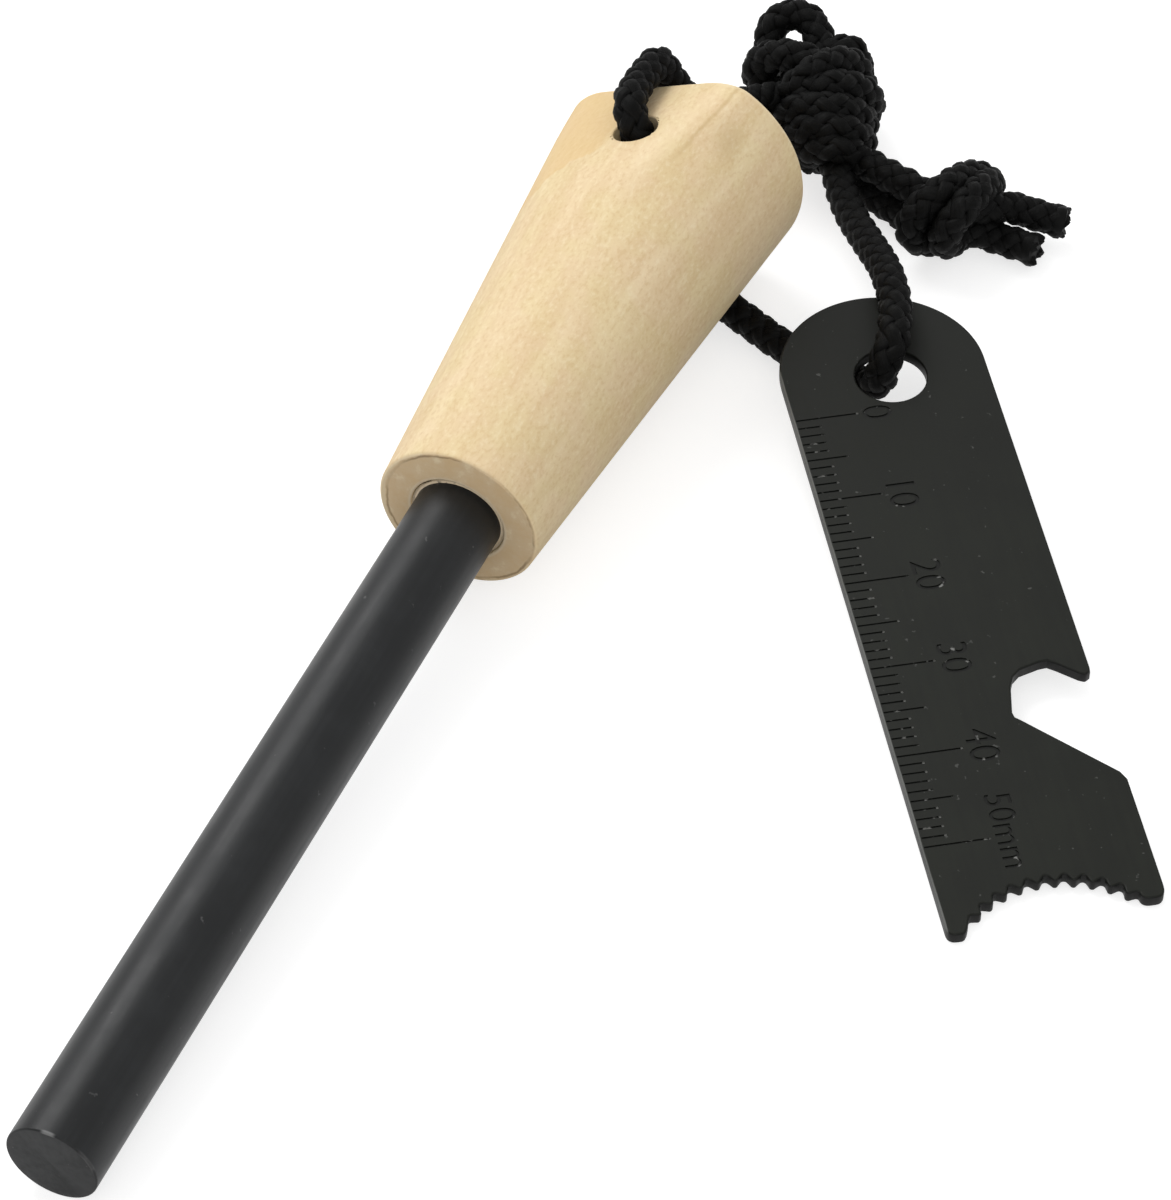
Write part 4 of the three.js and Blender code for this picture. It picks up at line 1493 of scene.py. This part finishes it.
class FIRESTARTER_OT_cord(bpy.types.Operator):
    """Make the braided cord with its two knots"""

    bl_idname = "firestarter.cord"
    bl_label = "Cord"

    def execute(self, context):
        settings = context.scene.fire_cord
        material = cord_material(settings)
        routes = {
            "lanyard_over_strand": (OVER_ROUTE, ["lanyard_over"], "knot"),
            "lanyard_under_strand": (UNDER_ROUTE, ["lanyard_under"], "knot"),
            "long_tail_strand": (LONG_TAIL_ROUTE, ["tail_long", "tail_end_long"], "bare"),
            "short_tail_strand": (SHORT_TAIL_ROUTE, ["tail_short", "tail_end_short"], "bare"),
        }
        knots = {
            "main_knot_turns": (MAIN_KNOT_STRANDS, "main_knot"),
            "stopper_knot_turns": ([STOPPER_KNOT_TURNS], "stopper_knot"),
        }
        made = {}
        for name, (strands, node) in knots.items():
            made[name] = braided(name, [smooth_path(s, CORD_STEP) for s in strands], settings, material)
            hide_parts(node)
            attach(made[name], "fire_steel")
        for name, (route, nodes, far_end) in routes.items():
            line = smooth_path(route, CORD_STEP)
            piece = braided(name, [line], settings, material)
            if far_end == "bare":
                add_to_mesh(piece, *melted_end(line, PLUG_SHARE * settings.diameter))
            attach(piece, "fire_steel")
            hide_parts(*nodes)
        return {"FINISHED"}


# How far a cutter stands out of the wood, the round on the edges of the holes, how near the cord hole's
# middle such an edge is, as a share of its radius, and the sides of the cord hole and of the rod's bore
OVERRUN = 2 * MM
MOUTH_ROUND = 0.18 * MM
MOUTH_SHARE = 1.3
CORD_HOLE_SIDES = 48
ROD_SIDES = 96


def cylinder(name, low_x, high_x, radius, sides):
    """A plain round bar along X, as a mesh."""
    profile = [(low_x, 0), (low_x, radius), (high_x, radius), (high_x, 0)]
    return mesh_of(name, *revolved(profile, sides))


class FIRESTARTER_OT_handle(bpy.types.Operator):
    """Make the turned handle with its flat, cord hole and bore"""

    bl_idname = "firestarter.handle"
    bl_label = "Handle"

    def execute(self, context):
        settings = context.scene.fire_handle
        mesh, turn = handle_body(settings)
        face_x = -settings.from_tip
        butt_x = face_x - settings.length
        out, across = flat_directions(settings)
        piece = new_object("turned_handle", mesh, wood_material(settings))
        reach = settings.butt_radius + OVERRUN
        hole_mesh = cylinder("hole", -reach, reach, settings.hole_radius, CORD_HOLE_SIDES)
        hole = new_object("hole_cutter", hole_mesh)
        centre = Vector((butt_x + settings.hole_from_butt, 0, 0)) + across * settings.hole_off_axis
        hole_turn = out.to_track_quat("X", "Z").to_matrix().to_4x4()
        hole.data.transform(turn @ Matrix.Translation(centre) @ hole_turn)
        bore_end = face_x - settings.bore_depth
        bore_mesh = cylinder("bore", bore_end, face_x + OVERRUN, settings.bore_radius, ROD_SIDES)
        cut(piece, hole, new_object("bore_cutter", bore_mesh))

        def mouth(edge):
            middle = (edge.verts[0].co + edge.verts[1].co) / 2
            beside_hole = (middle - centre).cross(out).length < MOUTH_SHARE * settings.hole_radius
            return middle.x > face_x - OVERRUN or beside_hole

        soften_edges(piece.data, mouth, MOUTH_ROUND)
        smooth_with_creases(piece.data, 40)
        piece.data.transform(STEEL_PLACE)
        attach(piece, "fire_steel")
        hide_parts("handle")
        return {"FINISHED"}


# The rod's rings of points along it, and over its tip as shares of its radius
ROD_RINGS = 40
TIP_RINGS = (0.8, 0.5, 0.2, 0)
TIP_ROUND_POINTS = 7
# The glue: its gaps to the bore and to the rod, how far its rim lies behind the face, the dip in its rim,
# and how far behind the rim it still sinks on one side
BORE_GAP = 0.05 * MM
ROD_GAP = 0.02 * MM
GLUE_INSET = 0.04 * MM
GLUE_DIP = 0.08 * MM
GLUE_SINK_REACH = 0.5 * MM


class FIRESTARTER_OT_rod(bpy.types.Operator):
    """Make the rod and the glue that holds it"""

    bl_idname = "firestarter.rod"
    bl_label = "Rod and glue"

    def execute(self, context):
        rod = context.scene.fire_rod
        handle = context.scene.fire_handle
        edge = rod.tip_round
        profile = [(-rod.length, 0), (-rod.length, rod.radius)]
        profile += [(x, rod.radius) for x in np.linspace(-rod.length, -edge, ROD_RINGS)[1:-1]]
        profile += quarter_arc(-edge, rod.radius - edge, edge, TIP_ROUND_POINTS)
        profile += [(0, share * rod.radius) for share in TIP_RINGS]
        bar = mesh_of("coated_rod", *revolved(profile, ROD_SIDES))
        steel = new_object("coated_rod", bar, rod_material(rod))
        smooth_with_creases(steel.data, 40)
        steel.data.transform(STEEL_PLACE)
        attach(steel, "fire_steel")
        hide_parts("ferro_rod")
        outer = handle.bore_radius - BORE_GAP
        inner = rod.radius + ROD_GAP
        mouth_x = -handle.from_tip - GLUE_INSET
        back_x = -handle.from_tip - handle.bore_depth + BORE_GAP
        rod_end = -rod.length - BORE_GAP
        dip = (mouth_x - GLUE_DIP, (outer + inner) / 2)
        profile = [(back_x, 0), (back_x, outer), (mouth_x, outer), dip]
        profile += [(mouth_x, inner), (rod_end, inner), (rod_end, 0)]
        points, faces = revolved(profile, ROD_SIDES)
        for k, (x, y, z) in enumerate(points):
            if x > mouth_x - GLUE_SINK_REACH:
                points[k] = (x - rod.glue_lean * (1 + y / math.hypot(y, z)) / 2, y, z)
        glue = new_object("glue_ring", mesh_of("glue_ring", points, faces), glue_material(rod))
        smooth_with_creases(glue.data, 50)
        glue.data.transform(STEEL_PLACE)
        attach(glue, "fire_steel")
        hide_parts("rod_glue")
        return {"FINISHED"}


class FIRESTARTER_OT_striker(bpy.types.Operator):
    """Make the striker plate with its engraved ruler"""

    bl_idname = "firestarter.striker"
    bl_label = "Striker"

    def execute(self, context):
        settings = context.scene.fire_striker
        steel = steel_material(settings)
        mark = mark_material(settings)
        piece = new_object("steel_striker", plate_mesh(settings), steel)
        round_edges = piece.modifiers.new("worn", "BEVEL")
        round_edges.width = settings.edge_round
        round_edges.segments = 3
        round_edges.limit_method = "ANGLE"
        round_edges.angle_limit = math.radians(50)
        apply_modifiers(piece)
        cutters = [numeral_cutter(settings, text, middle, mark) for text, middle in NUMERAL_MIDDLES.items()]
        dots = tick_cutters(settings, glint_material(settings), DOT_LENGTH)
        cut(piece, *cutters, tick_cutters(settings, mark), dots)
        smooth_with_creases(piece.data, 35)
        piece.data.transform(STRIKER_PLACE)
        level = piece.modifiers.new("flat faces", "WEIGHTED_NORMAL")
        level.keep_sharp = True
        apply_modifiers(piece)
        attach(piece, "striker")
        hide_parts("striker_plate")
        return {"FINISHED"}


class FIRESTARTER_PT_sidebar(bpy.types.Panel):
    """The fire starter's pieces"""

    bl_idname = "FIRESTARTER_PT_sidebar"
    bl_label = "Fire Starter"
    bl_space_type = "VIEW_3D"
    bl_region_type = "UI"
    bl_category = "Fire Starter"

    def draw(self, context):
        for operator in PIECES:
            self.layout.operator(operator.bl_idname)
        for name in SETTINGS:
            box = self.layout.box()
            group = getattr(context.scene, name)
            for field in group.__annotations__:
                box.prop(group, field)


SETTINGS = {
    "fire_handle": HandleSettings,
    "fire_rod": RodSettings,
    "fire_striker": StrikerSettings,
    "fire_cord": CordSettings,
    "fire_stage": StageSettings,
}
PIECES = (
    FIRESTARTER_OT_stage,
    FIRESTARTER_OT_cord,
    FIRESTARTER_OT_handle,
    FIRESTARTER_OT_rod,
    FIRESTARTER_OT_striker,
)


def register():
    for group in SETTINGS.values():
        bpy.utils.register_class(group)
    for operator in PIECES:
        bpy.utils.register_class(operator)
    bpy.utils.register_class(FIRESTARTER_PT_sidebar)
    for name, group in SETTINGS.items():
        setattr(bpy.types.Scene, name, PointerProperty(type=group))


def unregister():
    for name in SETTINGS:
        delattr(bpy.types.Scene, name)
    for made in (FIRESTARTER_PT_sidebar, *reversed(PIECES), *SETTINGS.values()):
        bpy.utils.unregister_class(made)


def main():
    """Makes every piece in order."""
    register()
    bpy.ops.firestarter.stage()
    bpy.ops.firestarter.cord()
    bpy.ops.firestarter.handle()
    bpy.ops.firestarter.rod()
    bpy.ops.firestarter.striker()


if __name__ == "__main__":
    main()
